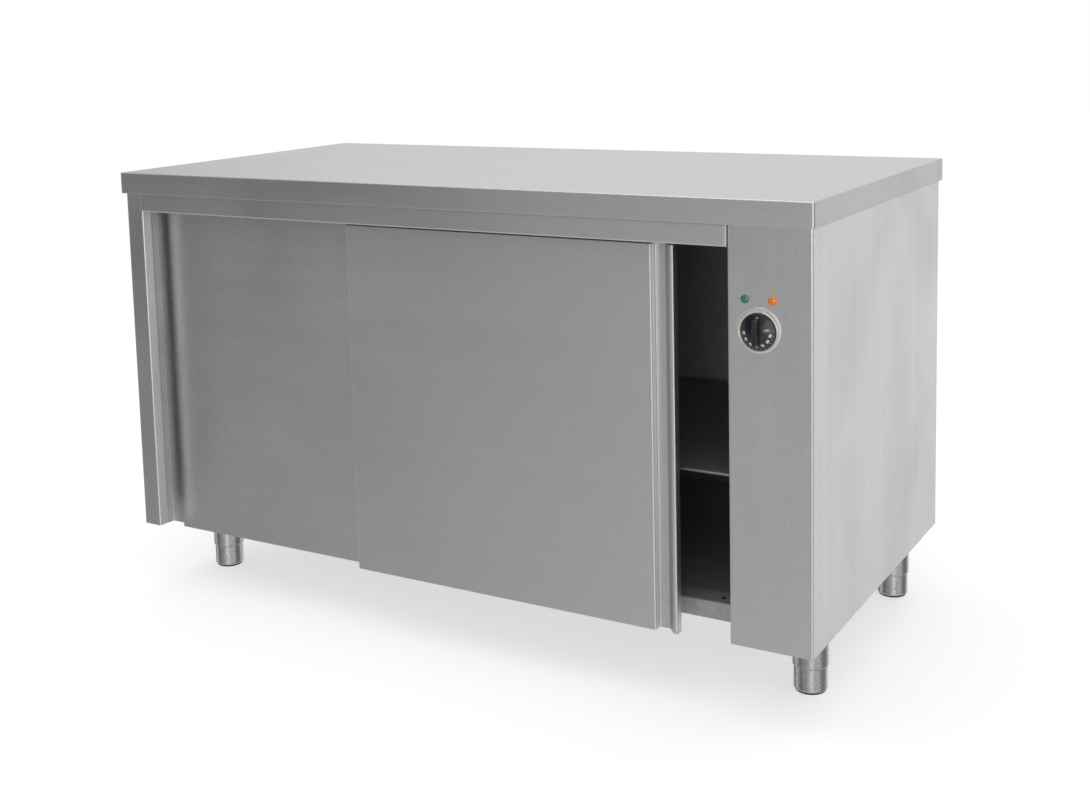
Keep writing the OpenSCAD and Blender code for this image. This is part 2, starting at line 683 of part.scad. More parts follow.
module front_hangers() color("lightgray") for (x = [front_tail + hanger_in, front_edge - hanger_in])
    hanger(x, front_mid);
module rear_hangers() color("lightgray") for (x = [edge_left + hanger_in, rear_tail - hanger_in])
    hanger(x, rear_mid);
module front_roller_left() roller(front_tail + hanger_in, front_mid);
module front_roller_right() roller(front_edge - hanger_in, front_mid);
module rear_roller_left() roller(edge_left + hanger_in, rear_mid);
module rear_roller_right() roller(rear_tail - hanger_in, rear_mid);

// Nylon buttons: between the doors, between rear door and deck, and at the ends of travel
module front_door_glide() color("ivory") rod_y([front_tail + back_lap + 10, front_y + door_t,
    door_z0 + 16], 7, door_pitch - door_t - move_gap);

module deck_guides() color("ivory") for (x = [edge_left + 90, rear_tail - 20, front_edge - 60])
    rod_y([x, rear_y + door_t + move_gap, z_base + deck_lip_h/2], 9,
        y_deck - rear_y - door_t - move_gap);

module door_buffers() color("dimgray") for (y = [front_mid, rear_mid]) {
    rod_x([x_left + sheet, y, z_roof - 90], buffer_r, edge_left - move_gap - x_left - sheet);
    rod_x([edge_right + move_gap, y, z_roof - 90], buffer_r, buffer_right_t);
}

// ---- Controls ------------------------------------------------------------------------------

shaft_in = 14;
shaft_out = 14;
module thermostat() color("dimgray") difference() {
    union() {
        box([dial_x - body_w/2, y_front + sheet, dial_z - body_w/2],
            [dial_x + body_w/2, y_front + sheet + body_d, dial_z + body_w/2]);
        rod_y([dial_x, y_front - 0.8, dial_z], collar_r, sheet + cut);
        for (x = [-8, 8]) box([dial_x + x - 3, y_front + sheet + body_d - cut, dial_z - 6],
            [dial_x + x + 3, y_front + sheet + body_d + 9, dial_z - 5]);
    }
    rod_y([dial_x, y_front - cut, dial_z], shaft_r + run_gap, sheet + shaft_in + cut + 1);
}

module dial_shaft() color("silver") rod_y([dial_x, y_front - shaft_out, dial_z], shaft_r,
    shaft_out + sheet + shaft_in);

// Black dial with a raised grip across it, turned from the section and a tapered bar
grip_w = 13;
grip_l = 44;
dial_back = 1.6;
dial_face = 8;
module knob() color("#1c1c20") difference() {
    union() {
        turned_front(dial_x, dial_z) polygon([[0, dial_back], [dial_r - 1, dial_back],
            [dial_r, dial_back + 1], [dial_r, dial_back + 2.4], [dial_r - 5, dial_face],
            [0, dial_face]]);
        intersection() {
            turned_front(dial_x, dial_z) polygon([[0, dial_face - cut], [grip_l/2, dial_face - cut],
                [grip_l/2, dial_face], [grip_l/2 - 2.5, knob_h - 1.5], [grip_l/2 - 5, knob_h],
                [0, knob_h]]);
            translate([dial_x, y_front, dial_z - grip_l/2]) linear_extrude(grip_l) polygon([
                [-grip_w/2, -dial_face + cut], [grip_w/2, -dial_face + cut],
                [grip_w/2, -dial_face], [grip_w/2 - 2, -knob_h + 1.2], [grip_w/2 - 3.2, -knob_h],
                [-grip_w/2 + 3.2, -knob_h], [-grip_w/2 + 2, -knob_h + 1.2], [-grip_w/2, -dial_face]]);
        }
    }
    rod_y([dial_x, y_front - shaft_out - run_gap, dial_z], shaft_r + run_gap, shaft_out + cut);
    rod_y([dial_x, y_front - dial_back - 2, dial_z], collar_r + 1, 2*cut);
}

// Ring round the dial: a rounded rim, a groove and an inner rim that follows the dial. The index
// plate closes the groove at the top and carries an oval mark.
dial_gap = 0.8;
rim_w = 3.2;
inner_rim_w = 1.8;
groove_t = 1.4;
index_z0 = dial_z + dial_r + dial_gap;
mark_r = 1.6;
module bezel() color("lightgray") difference() {
    union() {
        turned_front(dial_x, dial_z + bezel_up) polygon(concat([[0, 0], [bezel_r, 0]],
            [for (a = [0:22.5:90]) [bezel_r - 1.6 + 1.6*cos(a), bezel_t - 1.6 + 1.6*sin(a)]],
            [[bezel_r - rim_w, bezel_t], [bezel_r - rim_w - 0.8, groove_t], [0, groove_t]]));
        turned_front(dial_x, dial_z) polygon([[0, 0], [dial_r + dial_gap + inner_rim_w, 0],
            [dial_r + dial_gap + inner_rim_w, bezel_t - 1], [dial_r + dial_gap + 0.9, bezel_t - 0.3],
            [0, bezel_t - 0.3]]);
        box([dial_x - index_w/2, y_front - bezel_t + 0.2, dial_z],
            [dial_x + index_w/2, y_front, dial_z + bezel_up + bezel_r - rim_w + 0.8]);
    }
    rod_y([dial_x, y_front - bezel_t - cut, dial_z], dial_r + dial_gap, bezel_t + 2*cut, round_n);
    for (x = [-mark_r/2, mark_r/2]) rod_y([dial_x + x, y_front - bezel_t - cut,
        (index_z0 + dial_z + bezel_up + bezel_r - rim_w)/2], mark_r, cut + 1);
}

// Lamp: domed lens with its barrel through the casing and a collar behind it
lens_h = 3.6;
module lamp(x) turned_front(x, lamp_z) polygon(concat(
    [[0, -16], [lamp_barrel_r - 1, -16], [lamp_barrel_r - 1, -sheet - 4],
        [lamp_barrel_r + 1.6, -sheet - 4], [lamp_barrel_r + 1.6, -sheet - 0.05],
        [lamp_barrel_r, -sheet - 0.05], [lamp_barrel_r, 0.05], [lamp_r, 0.05], [lamp_r, 1.2]],
    [for (a = [20:14:76]) [(lamp_r - 0.4)*cos(a), 1.2 + (lens_h - 1.2)*sin(a)]], [[0, lens_h]]));

module lamp_green() color("seagreen") lamp(dial_x - lamp_pitch/2);
module lamp_orange() color("orange") lamp(dial_x + lamp_pitch/2);

// ---- Fan, heater and supply ----------------------------------------------------------------

grille_t = 1.2;
grille_hole = grille_w/2 - 8;
louvre_count = 8;
louvre_h = 5;
module grille_screw_holes() for (y = [-grille_hole, grille_hole], z = [-grille_hole, grille_hole])
    rod_x([partition_x - grille_t - cut, fan_y + y, fan_z + z], screw_r + run_gap,
        grille_t + liner_sheet + 2*cut);

// Pressed grille: a hood leans out over every slot
module air_grille() color("silver") {
    pitch = (fan_w - 8)/louvre_count;
    difference() {
        box([partition_x - grille_t, fan_y - grille_w/2, fan_z - grille_w/2],
            [partition_x, fan_y + grille_w/2, fan_z + grille_w/2]);
        for (i = [0:louvre_count - 1]) box(
            [partition_x - grille_t - cut, fan_y - fan_w/2 + 8, fan_z + pitch*(i - louvre_count/2) + 4],
            [partition_x + cut, fan_y + fan_w/2 - 8, fan_z + pitch*(i - louvre_count/2) + 4 + louvre_h]);
        grille_screw_holes();
    }
    for (i = [0:louvre_count - 1]) translate([partition_x - grille_t, fan_y + fan_w/2 - 8,
        fan_z + pitch*(i - louvre_count/2) + 4 + louvre_h]) rotate([90, 0, 0])
        linear_extrude(fan_w - 16) polygon([[0, 0], [-4, -louvre_h + 1], [-4, -louvre_h],
            [-3, -louvre_h], [0, -1.2], [grille_t, -1.2], [grille_t, 1], [0, 1]]);
}

module fan_screw_places() for (y = [-1, 1], z = [-1, 1])
    translate([0, fan_y + y*(fan_w/2 - 7.5), fan_z + z*(fan_w/2 - 7.5)]) children();

// Square duct from the partition to the fan, flanged at both ends
module fan_shroud() color("lightgray") difference() {
    union() {
        box([partition_r, fan_y - shroud_w/2, fan_z - shroud_w/2],
            [fan_x, fan_y + shroud_w/2, fan_z + shroud_w/2]);
        box([partition_r, fan_y - grille_w/2, fan_z - grille_w/2],
            [partition_r + 1, fan_y + grille_w/2, fan_z + grille_w/2]);
    }
    box([partition_r - cut, fan_y - shroud_w/2 + 1, fan_z - shroud_w/2 + 1],
        [fan_x - 1, fan_y + shroud_w/2 - 1, fan_z + shroud_w/2 - 1]);
    rod_x([fan_x - cut, fan_y, fan_z], fan_bore_r, 2*cut, round_n);
    fan_screw_places() rod_x([fan_x - cut, 0, 0], screw_r + run_gap, 2*cut);
    for (z = [-heater_bend, heater_bend])
        rod_y([heater_x, fan_y + shroud_w/2 - cut, fan_z + z], heater_r + 2 + run_gap, 2*cut);
}

strut_t = 4;
module fan_frame() color("#303030") {
    difference() {
        box([fan_x, fan_y - fan_w/2, fan_z - fan_w/2], [fan_x + fan_t, fan_y + fan_w/2, fan_z + fan_w/2]);
        rod_x([fan_x - cut, fan_y, fan_z], fan_bore_r, fan_t + 2*cut, round_n);
        fan_screw_places() rod_x([fan_x - cut, 0, 0], screw_r + run_gap, fan_t + 2*cut);
    }
    rod_x([fan_x + fan_t - 8, fan_y, fan_z], motor_r, 8, round_n);
    rod_x([fan_x + 6, fan_y, fan_z], fan_pin_r, fan_t - 8);
    for (a = [45:90:315]) translate([fan_x + fan_t - strut_t, fan_y, fan_z]) rotate([a, 0, 0])
        box([0, motor_r - 2, -2.5], [strut_t, fan_bore_r + 1, 2.5]);
}

// Hub cup with twisted blades
hub_l = fan_t - 13;
module fan_impeller() color("#202020") translate([fan_x + 4, fan_y, fan_z]) rotate([0, 90, 0]) {
    difference() {
        cylinder(r = hub_r, h = hub_l, $fn = round_n);
        translate([0, 0, 4]) cylinder(r = hub_r - 2, h = hub_l, $fn = round_n);
        translate([0, 0, 1]) cylinder(r = fan_pin_r + run_gap, h = hub_l, $fn = small_n);
    }
    difference() {
        translate([0, 0, 2]) cylinder(r = 6, h = hub_l - 6, $fn = small_n);
        translate([0, 0, 1]) cylinder(r = fan_pin_r + run_gap, h = hub_l, $fn = small_n);
    }
    for (i = [0:blade_count - 1]) rotate(i*360/blade_count) linear_extrude(hub_l - 2, twist = 34,
        slices = 4, $fn = 24) polygon([[hub_r - 1, -0.9], [impeller_r, -0.9], [impeller_r, 0.9],
        [hub_r - 1, 0.9]]);
}

// Stamped finger guard
ring_pitch = 9;
module fan_guard() color("lightgray") translate([fan_x + fan_t, fan_y, fan_z]) rotate([90, 0, 90])
    linear_extrude(1.5) difference() {
        union() {
            for (i = [1:5]) difference() {
                circle(r = fan_bore_r - 3 - (i - 1)*ring_pitch, $fn = round_n);
                circle(r = fan_bore_r - 5.4 - (i - 1)*ring_pitch, $fn = round_n);
            }
            for (a = [45, 135]) rotate(a) square([fan_w*sqrt(2) - 12, 5], center = true);
            for (y = [-1, 1], z = [-1, 1]) translate([y, z]*(fan_w/2 - 7.5)) circle(r = 6, $fn = small_n);
        }
        for (y = [-1, 1], z = [-1, 1]) translate([y, z]*(fan_w/2 - 7.5))
            circle(r = screw_r + run_gap, $fn = small_n);
    }

// Hairpin heating tube with pressed-on fins; its threaded ends pass the shroud's wall
module heater() color("dimgray") {
    leg_y = fan_y - 22;
    wall_y = fan_y + shroud_w/2;
    for (z = [-heater_bend, heater_bend]) translate([heater_x, 0, fan_z + z]) {
        rod_y([0, leg_y, 0], heater_r, wall_y - leg_y + 10);
        for (i = [0:fin_count - 1]) rod_y([0, leg_y + 4 + i*7, 0], fin_r, 0.8);
        rod_y([0, wall_y - 1 - cut, 0], heater_r + 2, 8 + cut);
        rod_y([0, wall_y, 0], heater_r + 4, 4, 6);
        rod_y([0, wall_y - 5, 0], heater_r + 4, 4, 6);
        rod_y([0, wall_y + 10, 0], 1.5, 12);
    }
    translate([heater_x, leg_y, fan_z]) rotate([0, 90, 180]) rotate_extrude(angle = 180, $fn = round_n)
        translate([heater_bend, 0]) circle(r = heater_r, $fn = small_n);
}

terminal_y = y_inner - 91;
terminal_z = 470;
terminal_ways = 5;
module terminal_block() color("beige") difference() {
    union() {
        box([partition_r, terminal_y - 32, terminal_z - 13],
            [partition_r + 8, terminal_y + 32, terminal_z + 13]);
        for (i = [0:terminal_ways - 1]) box([partition_r + 7, terminal_y - 29 + 12*i, terminal_z - 9],
            [partition_r + 20, terminal_y - 19 + 12*i, terminal_z + 9]);
    }
    for (i = [0:terminal_ways - 1]) rod_x([partition_r + 13, terminal_y - 24 + 12*i, terminal_z], 3, 9);
}

// Cable gland: hexagon and domed nut outside, lock nut inside
gland_out = y_back + 20;
module cable_gland() color("#2a2a2a") difference() {
    union() {
        rod_y([gland_x, y_inner - 5, gland_z], gland_hex_r, 5, 6);
        rod_y([gland_x, y_inner - 8, gland_z], gland_thread_r, 12);
        rod_y([gland_x, y_inner + liner_sheet, gland_z], gland_hex_r, 6, 6);
        translate([gland_x, y_inner + liner_sheet + 5, gland_z]) rotate([-90, 0, 0])
            rotate_extrude($fn = round_n) let (l = gland_out - y_inner - liner_sheet - 5) polygon([[0, 0],
                [gland_thread_r + 1.5, 0], [gland_thread_r + 1.5, l - 6], [gland_thread_r, l - 2],
                [gland_thread_r - 2.5, l], [0, l]]);
    }
    rod_y([gland_x, y_inner - 8 - cut, gland_z], gland_bore_r, gland_out - y_inner + 8 + 2*cut);
}

// ---- Fasteners -----------------------------------------------------------------------------

module screws() color("lightgray") {
    cover_screw_places() {
        rod_y([0, y_inner + liner_sheet + sheet, 0], head_r, head_h);
        rod_y([0, y_inner - 4, 0], screw_r, 6 + sheet);
    }
    for (y = [-grille_hole, grille_hole], z = [-grille_hole, grille_hole])
        translate([0, fan_y + y, fan_z + z]) {
        rod_x([partition_x - grille_t - head_h, 0, 0], head_r, head_h);
        rod_x([partition_x - grille_t - 1, 0, 0], screw_r, grille_t + liner_sheet + 1);
    }
    fan_screw_places() {
        rod_x([fan_x + fan_t + 1.5, 0, 0], head_r, head_h);
        rod_x([fan_x - 4, 0, 0], screw_r, fan_t + 6);
    }
    leg_bolt_places() {
        rod_z([0, 0, z_plate - 5], 6.5, 5, 6);
        rod_z([0, 0, z_plate - 1], 4, plate_t + rail_t + 0.9);
    }
}

module rivets() color("lightgray") for (i = [0:rivet_count - 1],
    x = [x_left + rivet_in, x_right - rivet_in]) {
    rod_y([x, y_back, rivet_z(i)], rivet_r*2, 1, 24);
    rod_y([x, y_inner - 1.5, rivet_z(i)], rivet_r, y_back - y_inner + 2, 24);
}

worktop();
worktop_board();
top_stiffeners();
left_side();
right_casing();
partition();
liner_left();
liner_top();
back_panel();
service_cover();
header_rail();
front_track();
rear_track();
deck();
deck_plugs();
column_base();
base_rails();
leg_sleeves();
leg_inserts();
foot_front_left();
foot_front_right();
foot_rear_left();
foot_rear_right();
pad_front_left();
pad_front_right();
pad_rear_left();
pad_rear_right();
shelf();
shelf_uprights();
shelf_clips();
front_door_skin();
front_door_liner();
front_hangers();
front_roller_left();
front_roller_right();
front_door_glide();
rear_door_skin();
rear_door_liner();
rear_hangers();
rear_roller_left();
rear_roller_right();
deck_guides();
door_buffers();
thermostat();
dial_shaft();
knob();
bezel();
lamp_green();
lamp_orange();
air_grille();
fan_shroud();
fan_frame();
fan_impeller();
fan_guard();
heater();
terminal_block();
cable_gland();
screws();
rivets();
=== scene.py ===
import math
import bmesh
import bpy
from mathutils import Matrix, Vector


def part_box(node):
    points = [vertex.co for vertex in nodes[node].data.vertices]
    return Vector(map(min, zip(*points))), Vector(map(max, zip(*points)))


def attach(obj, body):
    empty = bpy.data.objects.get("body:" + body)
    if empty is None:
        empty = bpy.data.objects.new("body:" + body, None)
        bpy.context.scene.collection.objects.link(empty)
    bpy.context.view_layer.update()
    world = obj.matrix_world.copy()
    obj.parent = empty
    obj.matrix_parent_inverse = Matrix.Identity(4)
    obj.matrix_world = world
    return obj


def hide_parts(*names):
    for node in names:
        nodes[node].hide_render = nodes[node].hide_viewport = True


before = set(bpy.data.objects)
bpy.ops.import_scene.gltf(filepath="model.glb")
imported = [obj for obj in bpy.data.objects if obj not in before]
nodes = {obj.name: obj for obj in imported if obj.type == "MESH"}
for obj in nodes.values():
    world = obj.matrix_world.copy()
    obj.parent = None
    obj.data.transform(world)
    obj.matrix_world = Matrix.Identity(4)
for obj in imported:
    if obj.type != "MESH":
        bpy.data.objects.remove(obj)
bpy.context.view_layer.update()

scene = bpy.context.scene


# ---------------------------------------------------------------- the studio
# A pale floor that runs out to the horizon, a broad soft light overhead, a tall one in front on
# the right and a small low one beside it. The camera stands where the photograph was taken from:
# in front, to the right and a little above the worktop.

CAMERA_PLACE = (1.41575, -2.35576, 1.09517)
CAMERA_YAW, CAMERA_PITCH, CAMERA_ROLL = 30.2946, -7.0405, -1.3544
CAMERA_SENSOR, CAMERA_LENS = 36.0, 48.06
CAMERA_SHIFT_X, CAMERA_SHIFT_Y = 0.00205, -0.1799
camera_data = bpy.data.cameras.new("camera")
camera = bpy.data.objects.new("camera", camera_data)
scene.collection.objects.link(camera)
scene.camera = camera
yaw, pitch, roll = (math.radians(angle) for angle in (CAMERA_YAW, CAMERA_PITCH, CAMERA_ROLL))
ahead = Vector((-math.sin(yaw) * math.cos(pitch), math.cos(yaw) * math.cos(pitch), math.sin(pitch)))
level = Vector((math.cos(yaw), math.sin(yaw), 0.0))
above = level.cross(ahead)
right = level * math.cos(roll) + above * math.sin(roll)
up = above * math.cos(roll) - level * math.sin(roll)
camera_turn = Matrix((right, up, -ahead)).transposed().to_4x4()
camera.matrix_world = Matrix.Translation(CAMERA_PLACE) @ camera_turn
camera_data.sensor_width, camera_data.lens = CAMERA_SENSOR, CAMERA_LENS
camera_data.shift_x, camera_data.shift_y = CAMERA_SHIFT_X, CAMERA_SHIFT_Y
camera_data.clip_start, camera_data.clip_end = 0.05, 100.0
scene.view_settings.view_transform = "Standard"

# The room as the steel mirrors it: a direction in degrees, going round from behind over the right,
# the front and the left, with the light that comes from there. The walls are pale behind and on the
# right. The front one dims towards the left, with one paler strip before a dark stretch, and a dark
# corner behind on either side shows as a band on the round legs.
ROOM_WALLS = (
    (-180, 1.1), (-165, 1.15), (-150, 1.1), (-128, 0.16), (-100, 0.16), (-80, 0.95), (-60, 1.0),
    (-50, 0.96), (-42, 0.95), (-31, 0.95), (-20, 0.95), (-13, 0.93), (-4, 0.90), (2, 0.66),
    (10, 0.47), (24, 0.45), (29.5, 0.37), (33, 0.43), (36.5, 0.10), (40, 0.07), (56, 0.14),
    (66, 0.5), (76, 0.95), (92, 0.95), (100, 0.16), (124, 0.16), (134, 0.80), (145, 0.84),
    (165, 0.84), (180, 1.1))
BRIGHTEST_WALL = max(wall_light for angle, wall_light in ROOM_WALLS)
# Above and below the walls, between these heights in degrees, the room turns to one even light.
CEILING_FADE, GROUND_FADE, EVEN_LIGHT = (18, 65), (-4, -62), 0.95
# The folded finger pulls mirror a bright patch of floor in front. It fades in from either side
# between these directions, and downwards between these heights.
PATCH_FADES, PATCH_HEIGHT_FADE, PATCH_LIGHT = ((-48, -32), (-10, -22)), (-1, -7), 0.8
world = bpy.data.worlds.new("studio")
scene.world = world
world.use_nodes = True
tree = world.node_tree
tree.nodes.clear()


def math_node(tree, operation, *values, clamp=False):
    """A Math node fed by sockets or plain numbers; gives its output."""
    step = tree.nodes.new("ShaderNodeMath")
    step.operation = operation
    step.use_clamp = clamp
    for index, value in enumerate(values):
        if isinstance(value, (int, float)):
            step.inputs[index].default_value = value
        else:
            tree.links.new(value, step.inputs[index])
    return step.outputs[0]


def spread(tree, value, low, high, to_low=0.0, to_high=1.0, smooth=False):
    """A Map Range node: what runs from low to high comes out from to_low to to_high."""
    made = tree.nodes.new("ShaderNodeMapRange")
    made.interpolation_type = "SMOOTHSTEP" if smooth else "LINEAR"
    ends = (("From Min", low), ("From Max", high), ("To Min", to_low), ("To Max", to_high))
    for name, number in ends:
        made.inputs[name].default_value = number
    tree.links.new(value, made.inputs["Value"])
    return made.outputs[0]


def around(angle):
    """A direction in degrees as a share of the full turn."""
    return (angle + 180.0) / 360.0


direction = tree.nodes.new("ShaderNodeTexCoord")
along_axes = tree.nodes.new("ShaderNodeSeparateXYZ")
tree.links.new(direction.outputs["Generated"], along_axes.inputs[0])
turn = math_node(tree, "ARCTAN2", math_node(tree, "MULTIPLY", along_axes.outputs["X"], -1.0),
                 math_node(tree, "MULTIPLY", along_axes.outputs["Y"], -1.0))
turn = math_node(tree, "MULTIPLY_ADD", turn, 0.5 / math.pi, 0.5)
height = math_node(tree, "ARCSINE", along_axes.outputs["Z"])
walls = tree.nodes.new("ShaderNodeValToRGB")
walls.color_ramp.interpolation = "EASE"
stops = walls.color_ramp.elements
while len(stops) < len(ROOM_WALLS):
    stops.new(0.5)
for index, (angle, wall_light) in enumerate(ROOM_WALLS):
    stops[index].position = around(angle)
    stops[index].color = (*(wall_light / BRIGHTEST_WALL,) * 3, 1.0)
tree.links.new(turn, walls.inputs["Fac"])
walls_light = math_node(tree, "MULTIPLY", walls.outputs["Color"], BRIGHTEST_WALL)
patch_sides = (spread(tree, turn, around(start), around(end), smooth=True) for start, end in PATCH_FADES)
patch_below = spread(tree, height, *(math.radians(angle) for angle in PATCH_HEIGHT_FADE))
patch = math_node(tree, "MULTIPLY", math_node(tree, "MULTIPLY", *patch_sides), patch_below)
patch = math_node(tree, "MULTIPLY", patch, PATCH_LIGHT)
open_parts = (spread(tree, height, math.radians(start), math.radians(end))
              for start, end in (CEILING_FADE, GROUND_FADE))
room = tree.nodes.new("ShaderNodeMix")
room.data_type = "FLOAT"
room.inputs["B"].default_value = EVEN_LIGHT
tree.links.new(math_node(tree, "MAXIMUM", *open_parts), room.inputs["Factor"])
tree.links.new(math_node(tree, "ADD", walls_light, patch), room.inputs["A"])
rays = tree.nodes.new("ShaderNodeLightPath")
seen = tree.nodes.new("ShaderNodeMix")
seen.data_type = "FLOAT"
seen.inputs["B"].default_value = 1.0
tree.links.new(rays.outputs["Is Camera Ray"], seen.inputs["Factor"])
tree.links.new(room.outputs["Result"], seen.inputs["A"])
sky = tree.nodes.new("ShaderNodeBackground")
sky.inputs["Color"].default_value = (1, 1, 1, 1)
tree.links.new(seen.outputs["Result"], sky.inputs["Strength"])
tree.links.new(sky.outputs[0], tree.nodes.new("ShaderNodeOutputWorld").inputs["Surface"])


def area_light(name, place, aim, width, height, power):
    """A soft rectangular light that the camera doesn't see."""
    lamp = bpy.data.lights.new(name, "AREA")
    lamp.shape = "RECTANGLE"
    lamp.size, lamp.size_y, lamp.energy = width, height, power
    light = bpy.data.objects.new(name, lamp)
    light.location = place
    light.rotation_euler = (Vector(aim) - Vector(place)).to_track_quat("-Z", "Y").to_euler()
    light.visible_camera = False
    scene.collection.objects.link(light)


area_light("overhead_softbox", place=(-0.3, -0.5, 3.4), aim=(0, 0, 0.4), width=3.0, height=2.4, power=20)
area_light("right_softbox", place=(1.85, -3.4, 1.15), aim=(0.3, -0.3, 0.5), width=1.8, height=2.2, power=13)
area_light("low_lamp", place=(1.56, -3.5, 0.55), aim=(0.6, -0.3, 0.6), width=0.5, height=0.3, power=5)

# The steel mirrors the room and not the floor plane, which only takes the shadow. The floor's own
# light lifts it to the white of the background.
FLOOR_SIZE, FLOOR_GREY, FLOOR_OWN_LIGHT = 60, 0.52, 0.58
bpy.ops.mesh.primitive_plane_add(size=FLOOR_SIZE, location=(0, 0, 0))
floor = bpy.context.object
floor.name = "floor"
floor.visible_glossy = False
floor_paint = bpy.data.materials.new("pale_floor")
floor_paint.use_nodes = True
tree = floor_paint.node_tree
tree.nodes.clear()
pale = tree.nodes.new("ShaderNodeBsdfDiffuse")
pale.inputs["Color"].default_value = (FLOOR_GREY, FLOOR_GREY, FLOOR_GREY, 1)
rays = tree.nodes.new("ShaderNodeLightPath")
white = tree.nodes.new("ShaderNodeEmission")
white.inputs["Color"].default_value = (1, 1, 1, 1)
own_light = math_node(tree, "MULTIPLY", rays.outputs["Is Camera Ray"], FLOOR_OWN_LIGHT)
tree.links.new(own_light, white.inputs["Strength"])
both = tree.nodes.new("ShaderNodeAddShader")
tree.links.new(pale.outputs[0], both.inputs[0])
tree.links.new(white.outputs[0], both.inputs[1])
tree.links.new(both.outputs[0], tree.nodes.new("ShaderNodeOutputMaterial").inputs["Surface"])
floor.data.materials.append(floor_paint)


# ---------------------------------------------------------------- worktop
# The worktop is a folded tray of 1.5 mm stainless steel, ground to a satin grain along its
# length, with a 40 mm edge all round. It is bonded to a board and screwed to the body below.

def noise(tree, vector, scale, detail=2.0, roughness=0.5, distortion=0.0):
    """A Noise Texture node; gives its value."""
    made = tree.nodes.new("ShaderNodeTexNoise")
    made.inputs["Scale"].default_value = scale
    made.inputs["Detail"].default_value = detail
    made.inputs["Roughness"].default_value = roughness
    made.inputs["Distortion"].default_value = distortion
    tree.links.new(vector, made.inputs["Vector"])
    return made.outputs["Fac"]


def new_group(name, vectors, values):
    """A node group with vectors in and values out; gives it with its two end nodes."""
    group = bpy.data.node_groups.new(name, "ShaderNodeTree")
    for vector in vectors:
        group.interface.new_socket(name=vector, in_out="INPUT", socket_type="NodeSocketVector")
    for value in values:
        group.interface.new_socket(name=value, in_out="OUTPUT", socket_type="NodeSocketFloat")
    return group, group.nodes.new("NodeGroupInput"), group.nodes.new("NodeGroupOutput")


# The grain of a ground sheet: long fine scratches along one axis, and the slow bands that the belt
# leaves. Stretch is a scale per axis, small along the grain. Mottle is the same in every direction.
MOTTLE_SCALE, MARKS_SCALE, WAVES_SCALE = 210.0, 3.1, 2.3
grain_group, inside, outside = new_group(
    "ground_grain", ("Vector", "Stretch"), ("Scratches", "Bands", "Mottle"))
stretched = grain_group.nodes.new("ShaderNodeVectorMath")
stretched.operation = "MULTIPLY"
grain_group.links.new(inside.outputs["Vector"], stretched.inputs[0])
grain_group.links.new(inside.outputs["Stretch"], stretched.inputs[1])
scratches = noise(grain_group, stretched.outputs[0], 1.0, detail=4.0)
bands = noise(grain_group, stretched.outputs[0], 0.15)
mottle = noise(grain_group, inside.outputs["Vector"], MOTTLE_SCALE, detail=1.0)
grain_group.links.new(scratches, outside.inputs["Scratches"])
grain_group.links.new(bands, outside.inputs["Bands"])
grain_group.links.new(mottle, outside.inputs["Mottle"])

# Marks of handling: faint wiped patches and finger marks that dull the metal here and there.
marks_group, inside, outside = new_group("handling_marks", ("Vector",), ("Wiped",))
patches = noise(marks_group, inside.outputs["Vector"], MARKS_SCALE, 4.0, 0.55, distortion=0.6)
marks_group.links.new(spread(marks_group, patches, 0.42, 0.68), outside.inputs["Wiped"])

# The slow waviness of thin sheet, which bends what it mirrors.
wave_group, inside, outside = new_group("sheet_waviness", ("Vector",), ("Height",))
waves = noise(wave_group, inside.outputs["Vector"], WAVES_SCALE, 1.0, 0.4)
wave_group.links.new(waves, outside.inputs["Height"])


def place_group(tree, group, vector):
    made = tree.nodes.new("ShaderNodeGroup")
    made.node_tree = group
    tree.links.new(vector, made.inputs["Vector"])
    return made


GRAIN_ACROSS, GRAIN_ALONG = 240.0, 2.5
# Steel takes a little less blue than red and green.
WARMTH = 0.002


